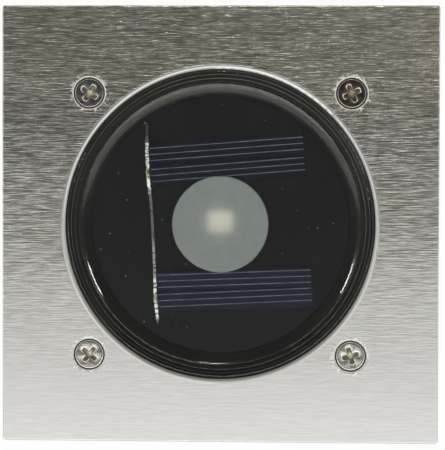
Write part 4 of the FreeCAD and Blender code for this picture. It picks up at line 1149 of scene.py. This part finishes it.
# %% [markdown]
# ## Floor
# The floor is plain white paper under the spike's tip. Seen by the camera, or in metal and glass, it is
# mostly a white of its own, so that the object needs no extra light; the matt rest keeps the shadow.

# %% Floor
FLOOR_SIDE = 40.0
FLOOR_GAP = 0.5
FLOOR_WHITE_SHARE = 0.94


def floor_finish():
    paper = material("studio_floor")
    cloudy = paper.cloud(paper.place((0.02, 0.02, 0.02)), 1.0, 2.0)
    tone = paper.mix(cloudy, paint(236, 236, 234), paint(240, 240, 238))
    matt = paper.shader({"Base Color": tone, "Roughness": 0.9})
    white = paper.node("ShaderNodeEmission", None, {"Color": paint(255, 255, 255), "Strength": 1.0})
    mirrored_or_clear = paper.ray("Is Glossy Ray").most(paper.ray("Is Transmission Ray"))
    seen = FLOOR_WHITE_SHARE * paper.ray("Is Camera Ray").most(mirrored_or_clear)
    return paper.show(paper.node("ShaderNodeMixShader", None, {0: seen, 1: matt, 2: white}))


reach = FLOOR_SIDE / 2
floor_corners = [(-reach, -reach, 0), (reach, -reach, 0), (reach, reach, 0), (-reach, reach, 0)]
floor_mesh = bpy.data.meshes.new("studio_floor")
floor_mesh.from_pydata(floor_corners, [], [(0, 1, 2, 3)])
floor_mesh.materials.append(floor_finish().owner)
floor = bpy.data.objects.new("studio_floor", floor_mesh)
floor.location.z = (spike_tip - FLOOR_GAP) * MM
bpy.context.scene.collection.objects.link(floor)
print("floor at", round(floor.location.z / MM, 1), "mm")

# %% [markdown]
# ## World
# The sky is a soft tent: white at the horizon, a little darker on the far side, and dark overhead, because
# the lens and the black tray mirror what is straight above them and have to stay deep.

# %% World
sky = Finish(bpy.data.worlds.new("studio"), "ShaderNodeOutputWorld")
bpy.context.scene.world = sky.owner
way = sky.node("ShaderNodeTexCoord", out="Generated")
away, up = sky.axis(way, "Y"), sky.axis(way, "Z")
tone = sky.washed(
    sky.mix(away.rise(-0.5, 0.5), paint(255, 254, 252), paint(206, 207, 208)),
    (up.fall(0.06, 0.2), paint(255, 255, 254)),
    (up.rise(0.45, 0.9), paint(61, 60, 57)),
)
sky.show(sky.node("ShaderNodeBackground", None, {"Color": tone, "Strength": 1.0}))

# %% [markdown]
# ## Lamps
# Three broad panels hang over the near side and get brighter outwards. The lens mirrors the dark above it
# and not the panels, while the brushed steel, which spreads light widely across its grain, brightens towards
# them. Three small strips, one on the far side and two at the flanks, give the short arcs in the cove.

# %% Lamps
PANEL_HEIGHT = 1.2
PANEL_WIDTH = 3.0
PANEL_ASIDE = 0.05
STRIP_HEIGHT = 0.6
STRIP_SIZE = (0.1, 0.04)
# Where each panel starts and ends on the near side, and how strongly it glows
PANELS = ((0.20, 0.40, 1.2), (0.40, 0.70, 1.4), (0.70, 1.45, 2.8))
# The direction of each strip in degrees, how far out it hangs, and its watts
STRIPS = ((22, 0.37, 0.3), (92, 0.46, 0.44), (163, 0.46, 0.42))


def add_lamp(name, place, aim, size, watts):
    light = bpy.data.lights.new(name, "AREA")
    light.shape = "RECTANGLE"
    light.size, light.size_y = size
    light.energy = watts
    lamp = bpy.data.objects.new(name, light)
    lamp.location = place
    lamp.rotation_euler = (aim - place).to_track_quat("-Z", "Y").to_euler()
    bpy.context.scene.collection.objects.link(lamp)
    return lamp


for number, (start, end, glow) in enumerate(PANELS):
    spot = Vector((PANEL_ASIDE, -(start + end) / 2, PANEL_HEIGHT))
    size = (PANEL_WIDTH, end - start)
    watts = math.pi * PANEL_WIDTH * (end - start) * glow
    add_lamp(f"near_panel_{number}", spot, spot - Vector((0, 0, 1)), size, watts)
for number, (azimuth, reach, watts) in enumerate(STRIPS):
    spot = around(reach, math.radians(azimuth), STRIP_HEIGHT)
    add_lamp(f"far_strip_{number}", spot, Vector(), STRIP_SIZE, watts)

# %% [markdown]
# ## Camera
# The photograph looks almost straight down, from a little to the right and to the far side.
# A long lens high above gives its slight perspective, and a small turn sets the plate in the frame.

# %% Camera
CAMERA_PLACE = (29.44, 25.32, 600.0)
CAMERA_TURN = (-2.455, 2.786, 0.159)
camera_data = bpy.data.cameras.new("photo_camera")
camera_data.lens = 173.4
camera_data.sensor_width = 36.0
camera_data.shift_x = 0.001
camera_data.shift_y = 0.001
camera_data.clip_start = 0.01
camera_data.clip_end = 20.0
camera = bpy.data.objects.new("photo_camera", camera_data)
camera.location = MM * Vector(CAMERA_PLACE)
camera.rotation_euler = [math.radians(angle) for angle in CAMERA_TURN]
bpy.context.scene.collection.objects.link(camera)
bpy.context.scene.camera = camera
bpy.context.scene.view_settings.view_transform = "Standard"
print("camera", [round(x, 3) for x in camera.location])
